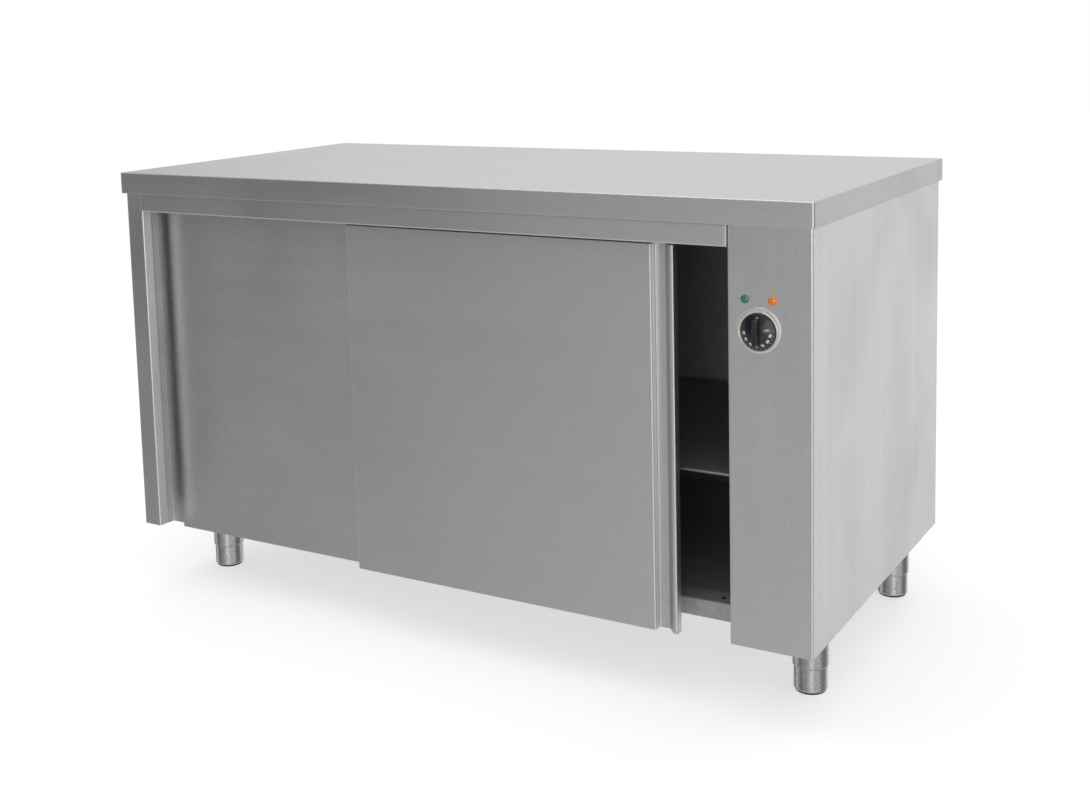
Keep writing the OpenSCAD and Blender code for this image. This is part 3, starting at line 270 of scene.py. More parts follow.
def ground_steel(name, grain_axis, light=0.615, dark=0.59, rough=0.33, anisotropic=0.55,
                 waviness=0.0003, metal=1.0, fold=0.002, ends=1.0):
    """Stainless steel ground along one axis; its gloss runs across the grain. Light and dark are
    the greys that the grain mixes; ends is a painted shade that scales the colour of folded ends."""
    material = bpy.data.materials.new(name)
    material.use_nodes = True
    tree = material.node_tree
    surface = tree.nodes["Principled BSDF"]
    place = tree.nodes.new("ShaderNodeTexCoord").outputs["Object"]
    grain = place_group(tree, grain_group, place)
    grain.inputs["Stretch"].default_value = [
        GRAIN_ALONG if axis == grain_axis else GRAIN_ACROSS for axis in "XYZ"]
    marks = place_group(tree, marks_group, place)
    wave = place_group(tree, wave_group, place)
    colour = tree.nodes.new("ShaderNodeMix")
    colour.data_type = "RGBA"
    colour.inputs["A"].default_value = (dark, dark, dark - WARMTH, 1)
    colour.inputs["B"].default_value = (light, light, light - WARMTH, 1)
    blend = math_node(tree, "ADD", math_node(tree, "MULTIPLY", grain.outputs["Scratches"], 0.7),
                      spread(tree, grain.outputs["Mottle"], 0.3, 0.7, -0.5, 0.7))
    banding = math_node(tree, "MULTIPLY", grain.outputs["Bands"], 0.35)
    tree.links.new(math_node(tree, "ADD", blend, banding, clamp=True), colour.inputs["Factor"])
    # Where the sheet turns square to its grain, at a folded end, the grain follows the fold, and
    # ends paints shade on the welded end: its colour is scaled down there.
    facing = tree.nodes.new("ShaderNodeSeparateXYZ")
    tree.links.new(tree.nodes.new("ShaderNodeNewGeometry").outputs["True Normal"], facing.inputs[0])
    square_on = math_node(tree, "ABSOLUTE", facing.outputs[grain_axis])
    shaded = tree.nodes.new("ShaderNodeVectorMath")
    shaded.operation = "SCALE"
    tree.links.new(colour.outputs["Result"], shaded.inputs[0])
    tree.links.new(spread(tree, square_on, 0.0, 1.0, 1.0, ends), shaded.inputs["Scale"])
    tree.links.new(shaded.outputs[0], surface.inputs["Base Color"])
    dulled = math_node(tree, "MULTIPLY_ADD", marks.outputs["Wiped"], 0.07, rough - 0.05)
    dull_bands = math_node(tree, "MULTIPLY", grain.outputs["Bands"], 0.09)
    tree.links.new(math_node(tree, "ADD", dulled, dull_bands), surface.inputs["Roughness"])
    surface.inputs["Metallic"].default_value = metal
    surface.inputs["Anisotropic"].default_value = anisotropic
    surface.inputs["Anisotropic Rotation"].default_value = 0.25
    along = tree.nodes.new("ShaderNodeCombineXYZ")
    tree.links.new(math_node(tree, "SUBTRACT", 1.0, square_on), along.inputs[grain_axis])
    tree.links.new(square_on, along.inputs["Y" if grain_axis == "X" else "X"])
    tree.links.new(along.outputs[0], surface.inputs["Tangent"])
    rounded = tree.nodes.new("ShaderNodeBevel")
    rounded.samples = 4
    rounded.inputs["Radius"].default_value = fold
    bump = tree.nodes.new("ShaderNodeBump")
    bump.inputs["Distance"].default_value = waviness
    tree.links.new(wave.outputs["Height"], bump.inputs["Height"])
    tree.links.new(rounded.outputs[0], bump.inputs["Normal"])
    tree.links.new(bump.outputs[0], surface.inputs["Normal"])
    return material


def dress(material, *names):
    """Gives CAD nodes a material in their own slots."""
    for name in names:
        mesh = nodes[name].data
        if not mesh.materials:
            mesh.materials.append(material)
        for index in range(len(mesh.materials)):
            mesh.materials[index] = material


# ends=0.60 paints shade on the worktop's end faces, darkening their colour.
dress(ground_steel("worktop_steel", "X", ends=0.60), "worktop")


# ---------------------------------------------------------------- outer panels
# Side panel with the front post, the column's casing and the back: 1.2 mm stainless sheet folded
# in one piece each, with the grain running up the posts and sides. The back is rolled 1 mm sheet.

dress(ground_steel("upright_steel", "Z", light=0.57, dark=0.535, anisotropic=0.2, fold=0.0015),
      "left_side", "right_casing")
dress(ground_steel("back_steel", "X", light=0.60, dark=0.53, rough=0.38, waviness=0.0006, metal=0.3),
      "back_panel", "service_cover")


# ---------------------------------------------------------------- header and deck
# The rail over the doors and the deck under them are long folded sheets, ground along their length.

rail_steel = ground_steel("rail_steel", "X")
dress(rail_steel, "header_rail", "column_base")
dress(ground_steel("deck_steel", "X", light=0.42, dark=0.35, rough=0.36, metal=0.5), "deck")


# ---------------------------------------------------------------- warm compartment
# Liners, ceiling and grille inside; the same steel, duller, as it is only pickled inside.

inner_steel = ground_steel("inner_steel", "X", light=0.33, dark=0.27, rough=0.45, anisotropic=0.3,
                           metal=0.5)
dress(inner_steel, "liner_left", "liner_top", "partition", "air_grille")


# ---------------------------------------------------------------- doors
# Each door is a skin of 1 mm sheet folded round a tray; its closing edge carries the finger pull.

dress(ground_steel("door_steel", "X", light=0.575, dark=0.535, rough=0.40, anisotropic=0.6, metal=0.9),
      "front_door_skin", "rear_door_skin")
dress(ground_steel("door_liner_steel", "X", rough=0.36), "front_door_liner", "rear_door_liner")


# ---------------------------------------------------------------- legs
# Round tube sleeves and pressed feet, turned and polished, so they mirror the room in bands.

dress(ground_steel("leg_steel", "X", light=0.37, dark=0.30, rough=0.16, anisotropic=0.0, waviness=0.0),
      "leg_sleeves", "foot_front_left", "foot_front_right", "foot_rear_left", "foot_rear_right")


# ---------------------------------------------------------------- zinc-coated inner metalwork
# Rails, tracks, hangers, stiffeners and shelf uprights are galvanised sheet with a faint spangle.

SPANGLE_SCALE = 120
zinc = bpy.data.materials.new("zinc_sheet")
zinc.use_nodes = True
tree = zinc.node_tree
surface = tree.nodes["Principled BSDF"]
spangle = tree.nodes.new("ShaderNodeTexVoronoi")
spangle.inputs["Scale"].default_value = SPANGLE_SCALE
place = tree.nodes.new("ShaderNodeTexCoord").outputs["Object"]
tree.links.new(place, spangle.inputs["Vector"])
cell = tree.nodes.new("ShaderNodeSeparateColor")
tree.links.new(spangle.outputs["Color"], cell.inputs[0])
tint = tree.nodes.new("ShaderNodeMix")
tint.data_type = "RGBA"
tint.inputs["A"].default_value = (0.40, 0.42, 0.43, 1)
tint.inputs["B"].default_value = (0.52, 0.54, 0.55, 1)
tree.links.new(cell.outputs[0], tint.inputs["Factor"])
tree.links.new(tint.outputs["Result"], surface.inputs["Base Color"])
tree.links.new(spread(tree, cell.outputs[1], 0, 1, 0.38, 0.55), surface.inputs["Roughness"])
surface.inputs["Metallic"].default_value = 1.0
dress(zinc, "top_stiffeners", "base_rails", "front_track", "rear_track", "front_hangers",
      "rear_hangers", "shelf_uprights", "shelf_clips", "fan_shroud", "fan_guard", "screws", "rivets",
      "dial_shaft")


# ---------------------------------------------------------------- board under the worktop
# Raw chipboard, sealed by the steel round it.

def speckled(name, first, second, scale, rough, bump_height=0.0, coat=0.0, metal=0.0):
    """A dull or glossy moulded material with a fine mottle in its colour, gloss and surface."""
    material = bpy.data.materials.new(name)
    material.use_nodes = True
    tree = material.node_tree
    surface = tree.nodes["Principled BSDF"]
    place = tree.nodes.new("ShaderNodeTexCoord").outputs["Object"]
    mottle = noise(tree, place, scale, 3.0, 0.6)
    colour = tree.nodes.new("ShaderNodeMix")
    colour.data_type = "RGBA"
    colour.inputs["A"].default_value = (*first, 1)
    colour.inputs["B"].default_value = (*second, 1)
    tree.links.new(mottle, colour.inputs["Factor"])
    tree.links.new(colour.outputs["Result"], surface.inputs["Base Color"])
    gloss = spread(tree, noise(tree, place, scale * 0.31), 0.3, 0.7, *rough)
    tree.links.new(gloss, surface.inputs["Roughness"])
    surface.inputs["Coat Weight"].default_value = coat
    surface.inputs["Metallic"].default_value = metal
    if bump_height:
        bump = tree.nodes.new("ShaderNodeBump")
        bump.inputs["Distance"].default_value = bump_height
        tree.links.new(mottle, bump.inputs["Height"])
        tree.links.new(bump.outputs[0], surface.inputs["Normal"])
    return material


dress(speckled("chipboard", (0.42, 0.29, 0.17), (0.66, 0.50, 0.33), 420, (0.7, 0.95), 0.0006),
      "worktop_board")


# ---------------------------------------------------------------- rubber and plastics
# Black rubber pads and buffers; natural nylon rollers and guides; black moulded parts.

dress(speckled("black_rubber", (0.018, 0.018, 0.019), (0.04, 0.04, 0.042), 900, (0.6, 0.85), 0.0002),
      "pad_front_left", "pad_front_right", "pad_rear_left", "pad_rear_right", "door_buffers")
dress(speckled("natural_nylon", (0.70, 0.67, 0.58), (0.84, 0.82, 0.74), 300, (0.35, 0.55), 0.0001),
      "front_roller_left", "front_roller_right", "rear_roller_left", "rear_roller_right",
      "front_door_glide", "deck_guides")
black_moulding = speckled("black_moulding", (0.016, 0.016, 0.019), (0.035, 0.035, 0.04), 1200,
                          (0.32, 0.5), 0.0001)
dress(black_moulding, "leg_inserts", "fan_frame", "fan_impeller", "cable_gland", "deck_plugs",
      "thermostat")
dress(speckled("cream_moulding", (0.62, 0.58, 0.47), (0.74, 0.70, 0.60), 500, (0.4, 0.6), 0.0001),
      "terminal_block")
dress(speckled("heater_tube", (0.10, 0.09, 0.08), (0.22, 0.19, 0.16), 200, (0.35, 0.6), 0.0002),
      "heater")


# ---------------------------------------------------------------- dial
# The thermostat's knob is moulded in glossy black plastic: a low disc with a conical face and a
# raised grip bar, pushed on the shaft. Numbers from 30 to 90 and their ticks are printed on it.

FASCIA_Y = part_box("right_casing")[0].y
DIAL_X, DIAL_Z = 0.6095, 0.629
DISC_R, DISC_BACK, RIM_FACE = 0.0285, 0.0016, 0.0040
CONE_R, CONE_TOP_R, CONE_SLOPE = 0.0276, 0.0100, math.radians(20)
CONE_START = RIM_FACE + 0.0006
CONE_RISE = (CONE_R - CONE_TOP_R) * math.tan(CONE_SLOPE)
GRIP_FACE, GRIP_LENGTH, GRIP_WIDTH = 0.0216, 0.044, 0.012
GRIP_TAPER = (0.50, 1, 0.84)


def take(mesh_object):
    """Leaves edit mode with this object alone selected."""
    bpy.ops.object.mode_set(mode="OBJECT")
    bpy.ops.object.select_all(action="DESELECT")
    mesh_object.select_set(True)
    bpy.context.view_layer.objects.active = mesh_object


def pick(mesh_object, wanted):
    """Goes into edit mode with the faces selected whose centre and normal pass the test."""
    take(mesh_object)
    bpy.ops.object.mode_set(mode="EDIT")
    bpy.ops.mesh.select_mode(type="FACE")
    bpy.ops.mesh.select_all(action="DESELECT")
    edited = bmesh.from_edit_mesh(mesh_object.data)
    place_of = mesh_object.matrix_world
    for face in edited.faces:
        centre, normal = place_of @ face.calc_center_median(), place_of.to_3x3() @ face.normal
        face.select_set(wanted(centre, normal))
    bmesh.update_edit_mesh(mesh_object.data)


def raise_rings(axis_point, outward, start_radius, rings, twist=0.0):
    """Extrudes the picked round face outward, ring by ring, each with its own radius."""
    radius = start_radius
    for step, smaller in rings:
        bpy.ops.mesh.extrude_region_move(
            TRANSFORM_OT_translate={"value": tuple(part * step for part in outward)})
        bpy.ops.transform.resize(value=[1 if part else smaller / radius for part in outward],
                                 center_override=axis_point)
        if twist:
            bpy.ops.transform.rotate(value=twist, orient_axis="Y", center_override=axis_point)
        radius = smaller


def settle(mesh_object, name, material, bevel=0.0, segments=2, smooth=35.0):
    """Puts the place into the mesh, rounds the edges and gives the name and material."""
    take(mesh_object)
    bpy.ops.object.transform_apply(location=True, rotation=True, scale=True)
    if bevel:
        rounding = mesh_object.modifiers.new("rounding", "BEVEL")
        rounding.width, rounding.segments, rounding.limit_method = bevel, segments, "ANGLE"
        rounding.angle_limit = math.radians(30)
        bpy.ops.object.modifier_apply(modifier="rounding")
    bpy.ops.object.shade_smooth_by_angle(angle=math.radians(smooth))
    mesh_object.name = mesh_object.data.name = name
    mesh_object.data.materials.clear()
    mesh_object.data.materials.append(material)
    return mesh_object


def join(name, *pieces):
    """Makes the pieces one object under one name."""
    bpy.ops.object.select_all(action="DESELECT")
    for piece in pieces:
        piece.select_set(True)
    bpy.context.view_layer.objects.active = pieces[0]
    bpy.ops.object.join()
    pieces[0].name = pieces[0].data.name = name
    return pieces[0]


def cylinder_y(x, y_low, y_high, z, radius, sides=96):
    """A cylinder along Y between two depths."""
    bpy.ops.mesh.primitive_cylinder_add(vertices=sides, radius=radius, depth=y_high - y_low,
                                        location=(x, (y_low + y_high) / 2, z),
                                        rotation=(math.pi / 2, 0, 0))
    return bpy.context.object


def block(place, size):
    """A box to be worked on, with its size in the mesh."""
    bpy.ops.mesh.primitive_cube_add(size=1, location=place)
    made = bpy.context.object
    made.scale = size
    bpy.ops.object.transform_apply(location=False, rotation=False, scale=True)
    return made


def in_front_of(limit):
    return lambda centre, normal: centre.y < limit


def behind(limit):
    return lambda centre, normal: centre.y > limit


bpy.ops.object.select_all(action="DESELECT")
dial_plastic = speckled("dial_plastic", (0.006, 0.006, 0.010), (0.013, 0.013, 0.019), 900, (0.09, 0.14))
disc = cylinder_y(DIAL_X, FASCIA_Y - RIM_FACE, FASCIA_Y - DISC_BACK, DIAL_Z, DISC_R)
pick(disc, in_front_of(FASCIA_Y - RIM_FACE + 0.0004))
raise_rings((DIAL_X, 0, DIAL_Z), (0, -1, 0), DISC_R,
            ((CONE_START - RIM_FACE, CONE_R), (CONE_RISE, CONE_TOP_R)))
bpy.ops.mesh.inset(thickness=0.0012, depth=0)
bpy.ops.transform.translate(value=(0, -0.0002, 0))
settle(disc, "disc", dial_plastic, 0.0004, 3)

grip = block((DIAL_X, FASCIA_Y - (CONE_START + GRIP_FACE) / 2, DIAL_Z),
             (GRIP_WIDTH, GRIP_FACE - CONE_START, GRIP_LENGTH))
pick(grip, in_front_of(FASCIA_Y - GRIP_FACE + 0.001))
bpy.ops.transform.resize(value=GRIP_TAPER, center_override=(DIAL_X, FASCIA_Y - GRIP_FACE, DIAL_Z))
bpy.ops.mesh.inset(thickness=0.0011, depth=0)
bpy.ops.transform.translate(value=(0, 0.0005, 0))
settle(grip, "grip", dial_plastic, 0.0009, 3)
knob_piece = join("dial_knob", disc, grip)
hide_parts("knob")
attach(knob_piece, "dial")

# Numbers and ticks: white print, a few hundredths proud of the cone. 0 stands at the top, and 30 to
# 90 run from the left over the bottom to the right. Angles are clockwise from the top.
dial_print = speckled("dial_print", (0.80, 0.80, 0.80), (0.92, 0.92, 0.92), 1500, (0.45, 0.6))
NUMBERS, NUMBER_R, NUMBER_H = (30, 40, 50, 60, 70, 80, 90), 0.0208, 0.0042
PRINT_THICKNESS, PRINT_BOLD = 0.00006, 0.00016
TICK_R, TICK_THICKNESS, LONG_TICK, SHORT_TICK = 0.0254, 0.00008, (0.0005, 0.0016), (0.00035, 0.0011)
FIRST_ANGLE, STEP_ANGLE = 264.0, -27.5
prints = []


def print_on_dial(mesh_object, angle, radius):
    """Lays a flat mark on the sloping face of the dial, an angle away from its top."""
    turned = math.radians(angle)
    lie_on_cone = Matrix.Rotation(turned, 4, "Y") @ Matrix.Rotation(-CONE_SLOPE, 4, "X")
    face = FASCIA_Y - CONE_START - (CONE_R - radius) * math.tan(CONE_SLOPE)
    out = Vector((math.sin(turned), 0, math.cos(turned))) * radius
    place = Matrix.Translation(Vector((DIAL_X, face, DIAL_Z)) + out)
    mesh_object.data.transform(place @ lie_on_cone)
    prints.append(mesh_object)


number_angles = [(value, FIRST_ANGLE + STEP_ANGLE * index) for index, value in enumerate(NUMBERS)]
for value, angle in number_angles + [(0, 0.0)]:
    bpy.ops.object.text_add(rotation=(math.pi / 2, 0, 0))
    number = bpy.context.object
    number.data.body = str(value)
    number.data.size = NUMBER_H * 1.35
    number.data.align_x, number.data.align_y = "CENTER", "CENTER"
    number.data.extrude, number.data.offset = PRINT_THICKNESS, PRINT_BOLD
    number.data.resolution_u = 4
    bpy.ops.object.convert(target="MESH")
    settle(number, "number", dial_print)
    print_on_dial(number, angle, NUMBER_R)
for index in range(2 * len(NUMBERS) - 1):
    tick_width, tick_length = SHORT_TICK if index % 2 else LONG_TICK
    tick = block((0, 0, 0), (tick_width, TICK_THICKNESS, tick_length))
    settle(tick, "tick", dial_print, 0.00003, 1)
    print_on_dial(tick, FIRST_ANGLE + STEP_ANGLE * index / 2, TICK_R)
dial_marks = join("dial_marks", *prints)
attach(dial_marks, "dial")


# ---------------------------------------------------------------- dial ring
# The ring is a bright plated moulding round the dial, with an oval mark in the plate at its top.

dress(speckled("ring_plating", (0.66, 0.655, 0.61), (0.74, 0.735, 0.69), 40, (0.17, 0.24), metal=0.85),
      "bezel")


# ---------------------------------------------------------------- lamps
# Two jewel lamps over the dial, green and orange: cut lenses of clear-dyed plastic in a black
# barrel with a lip behind the sheet. The facets meet in a small table in the middle.

LAMP_Z, LAMP_PITCH, LENS_R, BARREL_R = 0.6775, 0.044, 0.0069, 0.0053
LENS_SIDES, LENS_EDGE, BARREL_FRONT, BARREL_BACK = 16, 0.0012, 0.0013, 0.0052
FACET_RINGS = ((0.0011, 0.0056), (0.0009, 0.0034))


def jewel_lamp(name, x, first, second):
    """One lamp: its lens in front of the fascia and its barrel behind."""
    lens_plastic = speckled(name + "_plastic", first, second, 420, (0.10, 0.16), coat=0.3)
    lens = cylinder_y(x, FASCIA_Y - LENS_EDGE, FASCIA_Y, LAMP_Z, LENS_R, LENS_SIDES)
    pick(lens, in_front_of(FASCIA_Y - LENS_EDGE + 0.0002))
    raise_rings((x, FASCIA_Y, LAMP_Z), (0, -1, 0), LENS_R, FACET_RINGS, twist=math.pi / LENS_SIDES)
    bpy.ops.mesh.inset(thickness=0.0010, depth=0)
    bpy.ops.transform.translate(value=(0, -0.0003, 0))
    settle(lens, "lens", lens_plastic, 0.00015, 1, smooth=10.0)
    barrel = cylinder_y(x, FASCIA_Y + BARREL_FRONT, FASCIA_Y + BARREL_BACK, LAMP_Z,
                        BARREL_R + 0.0016, 48)
    pick(barrel, behind(FASCIA_Y + BARREL_BACK - 0.0002))
    bpy.ops.mesh.inset(thickness=0.0026, depth=0)
    bpy.ops.mesh.extrude_region_move(TRANSFORM_OT_translate={"value": (0, 0.0108, 0)})
    settle(barrel, "barrel", black_moulding, 0.0003, 2)
    lamp_piece = join(name, lens, barrel)
    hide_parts(name.replace("jewel", "lamp"))
    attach(lamp_piece, "cabinet")


jewel_lamp("jewel_green", DIAL_X - LAMP_PITCH / 2, (0.015, 0.13, 0.075), (0.04, 0.22, 0.13))
jewel_lamp("jewel_orange", DIAL_X + LAMP_PITCH / 2, (0.70, 0.17, 0.0), (0.88, 0.26, 0.002))


# ---------------------------------------------------------------- shelf
# The loose shelf is a tray of 1.2 mm stainless sheet, turned over: walls fold down at its back and
# ends and rest on the clips. Its front has only a narrow hem, and a stiffener hides further back.

SHELF_SHEET, HEM_H, HEM_RUN = 0.0012, 0.0042, 0.0120
STIFFENER_IN, STIFFENER_END_GAP, STIFFENER_W, STIFFENER_H = 0.150, 0.03, 0.04, 0.018
shelf_low, shelf_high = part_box("shelf")
shelf_mid, shelf_size = (shelf_low + shelf_high) / 2, shelf_high - shelf_low
bpy.ops.object.select_all(action="DESELECT")
shelf_tray = block(shelf_mid, shelf_size)
pick(shelf_tray, lambda centre, normal: True)
bpy.ops.mesh.bisect(plane_co=(0, shelf_low.y + HEM_RUN, 0), plane_no=(0, 1, 0))
bpy.ops.mesh.select_all(action="SELECT")
bpy.ops.mesh.bisect(plane_co=(0, shelf_low.y + 2 * HEM_RUN, 0), plane_no=(0, 1, 0))
pick(shelf_tray, lambda centre, normal: normal.z < -0.9)
bpy.ops.mesh.inset(thickness=SHELF_SHEET, depth=0)
bpy.ops.transform.translate(value=(0, 0, shelf_size.z - SHELF_SHEET))
# The lower edge of the front wall, and of the side walls' first stretch, goes up to the hem.
bpy.ops.mesh.select_mode(type="VERT")
bpy.ops.mesh.select_all(action="DESELECT")
edited = bmesh.from_edit_mesh(shelf_tray.data)
for vertex in edited.verts:
    place = shelf_tray.matrix_world @ vertex.co
    vertex.select_set(place.z < shelf_low.z + 0.001 and place.y < shelf_low.y + 1.5 * HEM_RUN)
edited.select_flush(True)
bmesh.update_edit_mesh(shelf_tray.data)
bpy.ops.transform.translate(value=(0, 0, shelf_size.z - HEM_H))
settle(shelf_tray, "shelf_tray_sheet", inner_steel, 0.0004, 2)
stiffener_place = (shelf_mid.x, shelf_low.y + STIFFENER_IN, shelf_high.z - SHELF_SHEET - STIFFENER_H / 2)
stiffener = block(stiffener_place, (shelf_size.x - 2 * STIFFENER_END_GAP, STIFFENER_W, STIFFENER_H))
pick(stiffener, lambda centre, normal: normal.z < -0.9)
bpy.ops.transform.resize(value=(1, 0.6, 1), center_override=stiffener_place)
settle(stiffener, "stiffener", inner_steel, 0.0015, 3)
shelf_piece = join("shelf_sheet", shelf_tray, stiffener)
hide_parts("shelf")
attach(shelf_piece, "shelf_tray")


# ---------------------------------------------------------------- header's end flange
# At the column the header is closed by a flange of the same 1.2 mm sheet, folded back and dressed
# with the grinder, so that only a hairline stays open between the two.

FLANGE_GAP, FLANGE_DEPTH, FLANGE_SETBACK, FLANGE_END_GAP = 0.0003, 0.0110, 0.0004, 0.0003
FLANGE_NOSE, FLANGE_TAPER = 0.0008, (0.6, 1, 0.97)
header_low, header_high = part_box("header_rail")
flange_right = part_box("right_casing")[0].x - FLANGE_GAP
flange_place = ((header_high.x + flange_right) / 2, header_low.y + FLANGE_SETBACK + FLANGE_DEPTH / 2,
                (header_low.z + header_high.z) / 2)
bpy.ops.object.select_all(action="DESELECT")
flange = block(flange_place, (flange_right - header_high.x, FLANGE_DEPTH,
                              header_high.z - header_low.z - 2 * FLANGE_END_GAP))
pick(flange, lambda centre, normal: normal.y > 0.9)
bpy.ops.mesh.extrude_region_move(TRANSFORM_OT_translate={"value": (0, FLANGE_NOSE, 0)})
bpy.ops.transform.resize(value=FLANGE_TAPER, center_override=flange_place)
settle(flange, "header_end_flange", rail_steel, 0.0003, 2)
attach(flange, "cabinet")


# ---------------------------------------------------------------- screws, bolts and rivets
# Zinc-plated pan-head screws with a cross recess hold the service cover, grille and fan; hexagon
# bolts hold the leg plates; blind rivets with pulled mandrels join the back to the sides.

HEAD_R, HEAD_H, SHANK_R = 0.004, 0.0022, 0.002
RECESS_SIZE, RECESS_TAPER = (0.0011, 0.0040, 0.0026), (0.55, 0.55, 1)
BOLT_R, BOLT_H, WASHER_H = 0.0065, 0.005, 0.0012
RIVET_HEAD_R, RIVET_R, RIVET_RIM = 0.0032, 0.0016, 0.00035
fastener_zinc = speckled("fastener_zinc", (0.46, 0.47, 0.48), (0.60, 0.61, 0.62), 700, (0.30, 0.42),
                         metal=1.0)


def cylinder_z(z_low, z_high, radius, sides):
    """A cylinder that stands on the origin's axis between two heights."""
    bpy.ops.mesh.primitive_cylinder_add(vertices=sides, radius=radius, depth=z_high - z_low,
                                        location=(0, 0, (z_low + z_high) / 2))
    return bpy.context.object


def higher_than(limit):
    return lambda centre, normal: centre.z > limit


def lower_than(limit):
    return lambda centre, normal: centre.z < limit


bpy.ops.object.select_all(action="DESELECT")
screw_head = cylinder_z(0, HEAD_H * 0.45, HEAD_R, 24)
pick(screw_head, higher_than(HEAD_H * 0.4))
raise_rings((0, 0, 0), (0, 0, 1), HEAD_R,
            ((HEAD_H * 0.30, HEAD_R * 0.86), (HEAD_H * 0.18, HEAD_R * 0.55), (HEAD_H * 0.07, HEAD_R * 0.2)))
bpy.ops.object.mode_set(mode="OBJECT")
for turned in (0, math.pi / 2):
    bpy.ops.mesh.primitive_cube_add(size=1, location=(0, 0, HEAD_H), rotation=(0, 0, turned))
    cutter = bpy.context.object
    cutter.scale = RECESS_SIZE
    bpy.ops.object.transform_apply(location=True, rotation=True, scale=True)
    pick(cutter, lambda centre, normal: normal.z < -0.9)
    bpy.ops.transform.resize(value=RECESS_TAPER, center_override=(0, 0, 0))
    recess = screw_head.modifiers.new("recess", "BOOLEAN")
    recess.object, recess.operation, recess.solver = cutter, "DIFFERENCE", "EXACT"
    take(screw_head)
    bpy.ops.object.modifier_apply(modifier="recess")
    bpy.data.objects.remove(cutter)
settle(screw_head, "screw_head", fastener_zinc)
hex_bolt = cylinder_z(-BOLT_H, -WASHER_H / 2, BOLT_R, 6)
pick(hex_bolt, lower_than(-BOLT_H + 0.0001))
raise_rings((0, 0, 0), (0, 0, -1), BOLT_R, ((0.0, BOLT_R * 0.84),))
settle(hex_bolt, "hex_bolt", fastener_zinc, 0.0003, 2)
washer = cylinder_z(-WASHER_H, 0, BOLT_R * 1.02, 32)
pick(washer, lower_than(-WASHER_H + 0.0001))
bpy.ops.mesh.inset(thickness=0.0008, depth=0)
bpy.ops.transform.translate(value=(0, 0, 0.0002))
settle(washer, "washer", fastener_zinc, 0.0002, 2)
hex_bolt = join("hex_bolt", hex_bolt, washer)
rivet_head = cylinder_z(0, RIVET_RIM, RIVET_HEAD_R, 24)
pick(rivet_head, higher_than(RIVET_RIM - 0.00005))
raise_rings((0, 0, 0), (0, 0, 1), RIVET_HEAD_R,
            ((0.0004, RIVET_HEAD_R * 0.82), (0.00025, RIVET_HEAD_R * 0.5)))
bpy.ops.mesh.inset(thickness=0.0006, depth=0)
bpy.ops.mesh.extrude_region_move(TRANSFORM_OT_translate={"value": (0, 0, -0.0006)})
settle(rivet_head, "rivet_head", fastener_zinc)


def shank(length_below, radius):
    """The plain or threaded part under a head, from the head down."""
    made = cylinder_z(-length_below, 0.0002, radius, 16)
    pick(made, lower_than(-length_below + 0.0001))
    raise_rings((0, 0, 0), (0, 0, -1), radius, ((0.0, radius * 0.6),))
    return settle(made, "shank", fastener_zinc)


def fit(master, places, facing):
    """Copies of a fastener, each turned to face out of its sheet and set in its place."""
    made = []
    turned = Vector((0, 0, 1)).rotation_difference(Vector(facing)).to_matrix().to_4x4()
    for number, place in enumerate(places):
        copy = master.copy()
        copy.data = master.data.copy()
        scene.collection.objects.link(copy)
        spun = Matrix.Rotation(math.radians(37.0 * number), 4, "Z")
        copy.data.transform(Matrix.Translation(place) @ turned @ spun)
        made.append(copy)
    return made


COVER_X, COVER_Z, COVER_FACE = (0.6100, 0.6593), (0.275, 0.510, 0.745), 0.3432
GRILLE_Y, GRILLE_Z, GRILLE_FACE = (-0.027, 0.107), (0.183, 0.317), 0.5873
FAN_Y, FAN_Z, FAN_FACE = (-0.0125, 0.0925), (0.1975, 0.3025), 0.6650
BOLT_X, BOLT_Y, BOLT_PLATE = (-0.6308, 0.6308), (-0.2156, -0.1356, 0.2392, 0.3192), 0.1408
RIVET_X, RIVET_FACE, RIVETS_A_SIDE, RIVET_LOW, RIVET_STEP = (-0.676, 0.676), 0.3432, 7, 0.178, 0.093667
cover_places = [(x, COVER_FACE, z) for x in COVER_X for z in COVER_Z]
grille_places = [(GRILLE_FACE, y, z) for y in GRILLE_Y for z in GRILLE_Z]
fan_places = [(FAN_FACE, y, z) for y in FAN_Y for z in FAN_Z]
bolt_places = [(x, y, BOLT_PLATE) for x in BOLT_X for y in BOLT_Y]
rivet_places = [(x, RIVET_FACE, RIVET_LOW + RIVET_STEP * i) for x in RIVET_X for i in range(RIVETS_A_SIDE)]
cover_shank, grille_shank, fan_shank = (shank(length, SHANK_R) for length in (0.0062, 0.0022, 0.0434))
rivet_shank = shank(0.0037, RIVET_R)
turned_bolts = fit(hex_bolt, bolt_places, (0, 0, 1))
screws = (fit(screw_head, cover_places, (0, 1, 0)) + fit(cover_shank, cover_places, (0, 1, 0))
          + fit(screw_head, grille_places, (-1, 0, 0)) + fit(grille_shank, grille_places, (-1, 0, 0))
          + fit(screw_head, fan_places, (1, 0, 0)) + fit(fan_shank, fan_places, (1, 0, 0))
          + turned_bolts)
rivets = fit(rivet_head, rivet_places, (0, 1, 0)) + fit(rivet_shank, rivet_places, (0, 1, 0))
for master in (screw_head, hex_bolt, rivet_head, cover_shank, grille_shank, fan_shank, rivet_shank):
    bpy.data.objects.remove(master)
for piece, stands_for in ((join("fasteners", *screws), "screws"), (join("blind_rivets", *rivets), "rivets")):
    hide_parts(stands_for)
    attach(piece, "cabinet")


# ---------------------------------------------------------------- cable gland
# A black nylon gland in the back sheet: lock nut inside, hexagon body outside, and a domed cap
# with grip flutes that squeezes a rubber seal round the supply lead.

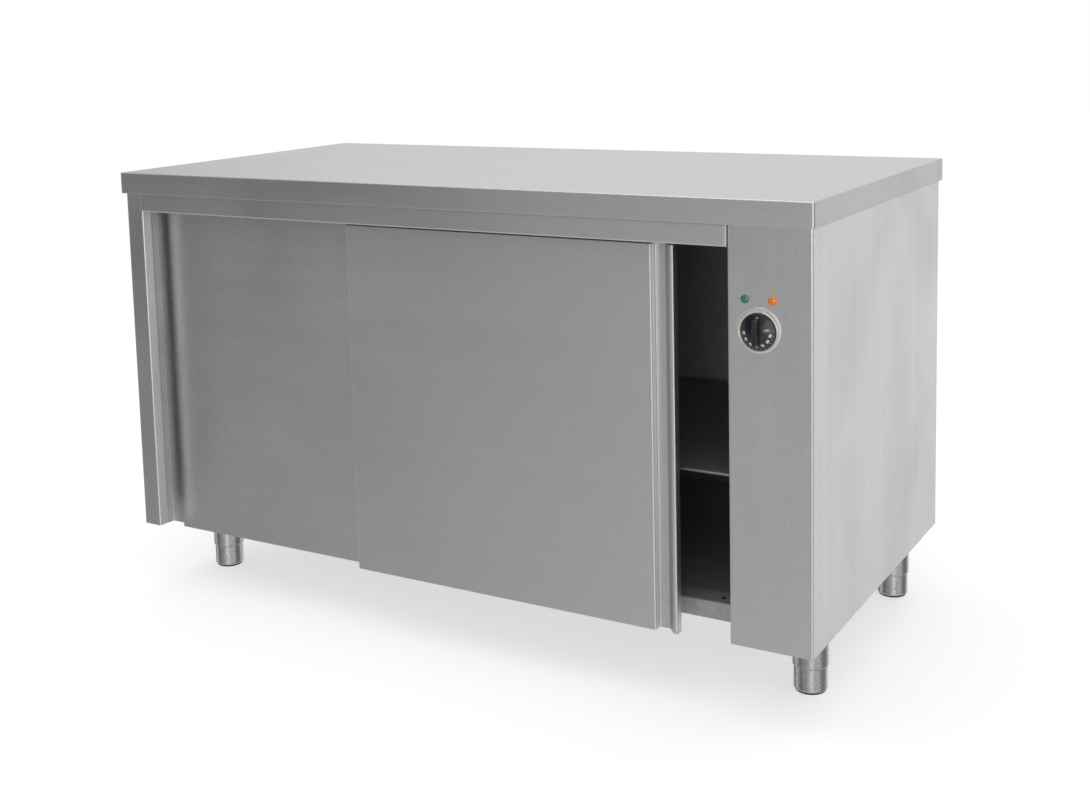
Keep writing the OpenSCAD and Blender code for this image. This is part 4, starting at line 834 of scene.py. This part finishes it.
GLAND_X, GLAND_Z, GLAND_FACE, GLAND_END = 0.6398, 0.175, 0.3420, 0.3632
HEX_R, HEX_RIM, CAP_R, SEAL_R, LEAD_R = 0.0135, 0.0014, 0.0115, 0.0070, 0.0045
CAP_SIDES, CAP_RIM = 36, GLAND_END - 0.0065
CAP_DOME = ((0.0030, 0.0105), (0.0022, 0.0090), (0.0010, SEAL_R))
SEAL_SUNK, LEAD_BORE = 0.0012, 0.0120


def faces_along_y(centre, normal):
    return abs(normal.y) > 0.9


def every_other_side(centre, normal):
    """The sides of the cap that become its grip flutes."""
    angle = math.degrees(math.atan2(centre.z - GLAND_Z, centre.x - GLAND_X))
    return abs(normal.y) < 0.1 and round(angle * CAP_SIDES / 360.0 - 0.5) % 2 == 0


bpy.ops.object.select_all(action="DESELECT")
locknut = cylinder_y(GLAND_X, GLAND_FACE - 0.0058, GLAND_FACE - 0.0008, GLAND_Z, HEX_R, 6)
body = cylinder_y(GLAND_X, GLAND_FACE, GLAND_FACE + 0.0060, GLAND_Z, HEX_R, 6)
for nut, nut_name in ((locknut, "locknut"), (body, "gland_body")):
    pick(nut, faces_along_y)
    bpy.ops.mesh.inset(thickness=HEX_RIM, depth=0)
    settle(nut, nut_name, black_moulding, 0.0004, 2)
cap = cylinder_y(GLAND_X, GLAND_FACE + 0.0055, CAP_RIM, GLAND_Z, CAP_R, CAP_SIDES)
pick(cap, every_other_side)
bpy.ops.mesh.inset(thickness=0.0003, depth=-0.0004, use_individual=True)
pick(cap, behind(CAP_RIM - 0.0001))
raise_rings((GLAND_X, 0, GLAND_Z), (0, 1, 0), CAP_R, CAP_DOME)
bpy.ops.mesh.extrude_region_move(TRANSFORM_OT_translate={"value": (0, -SEAL_SUNK, 0)})
bpy.ops.mesh.inset(thickness=SEAL_R - LEAD_R, depth=0)
bpy.ops.mesh.extrude_region_move(TRANSFORM_OT_translate={"value": (0, -LEAD_BORE, 0)})
settle(cap, "gland_cap", black_moulding, smooth=28.0)
gland = join("lead_gland", locknut, body, cap)
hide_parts("cable_gland")
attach(gland, "cabinet")
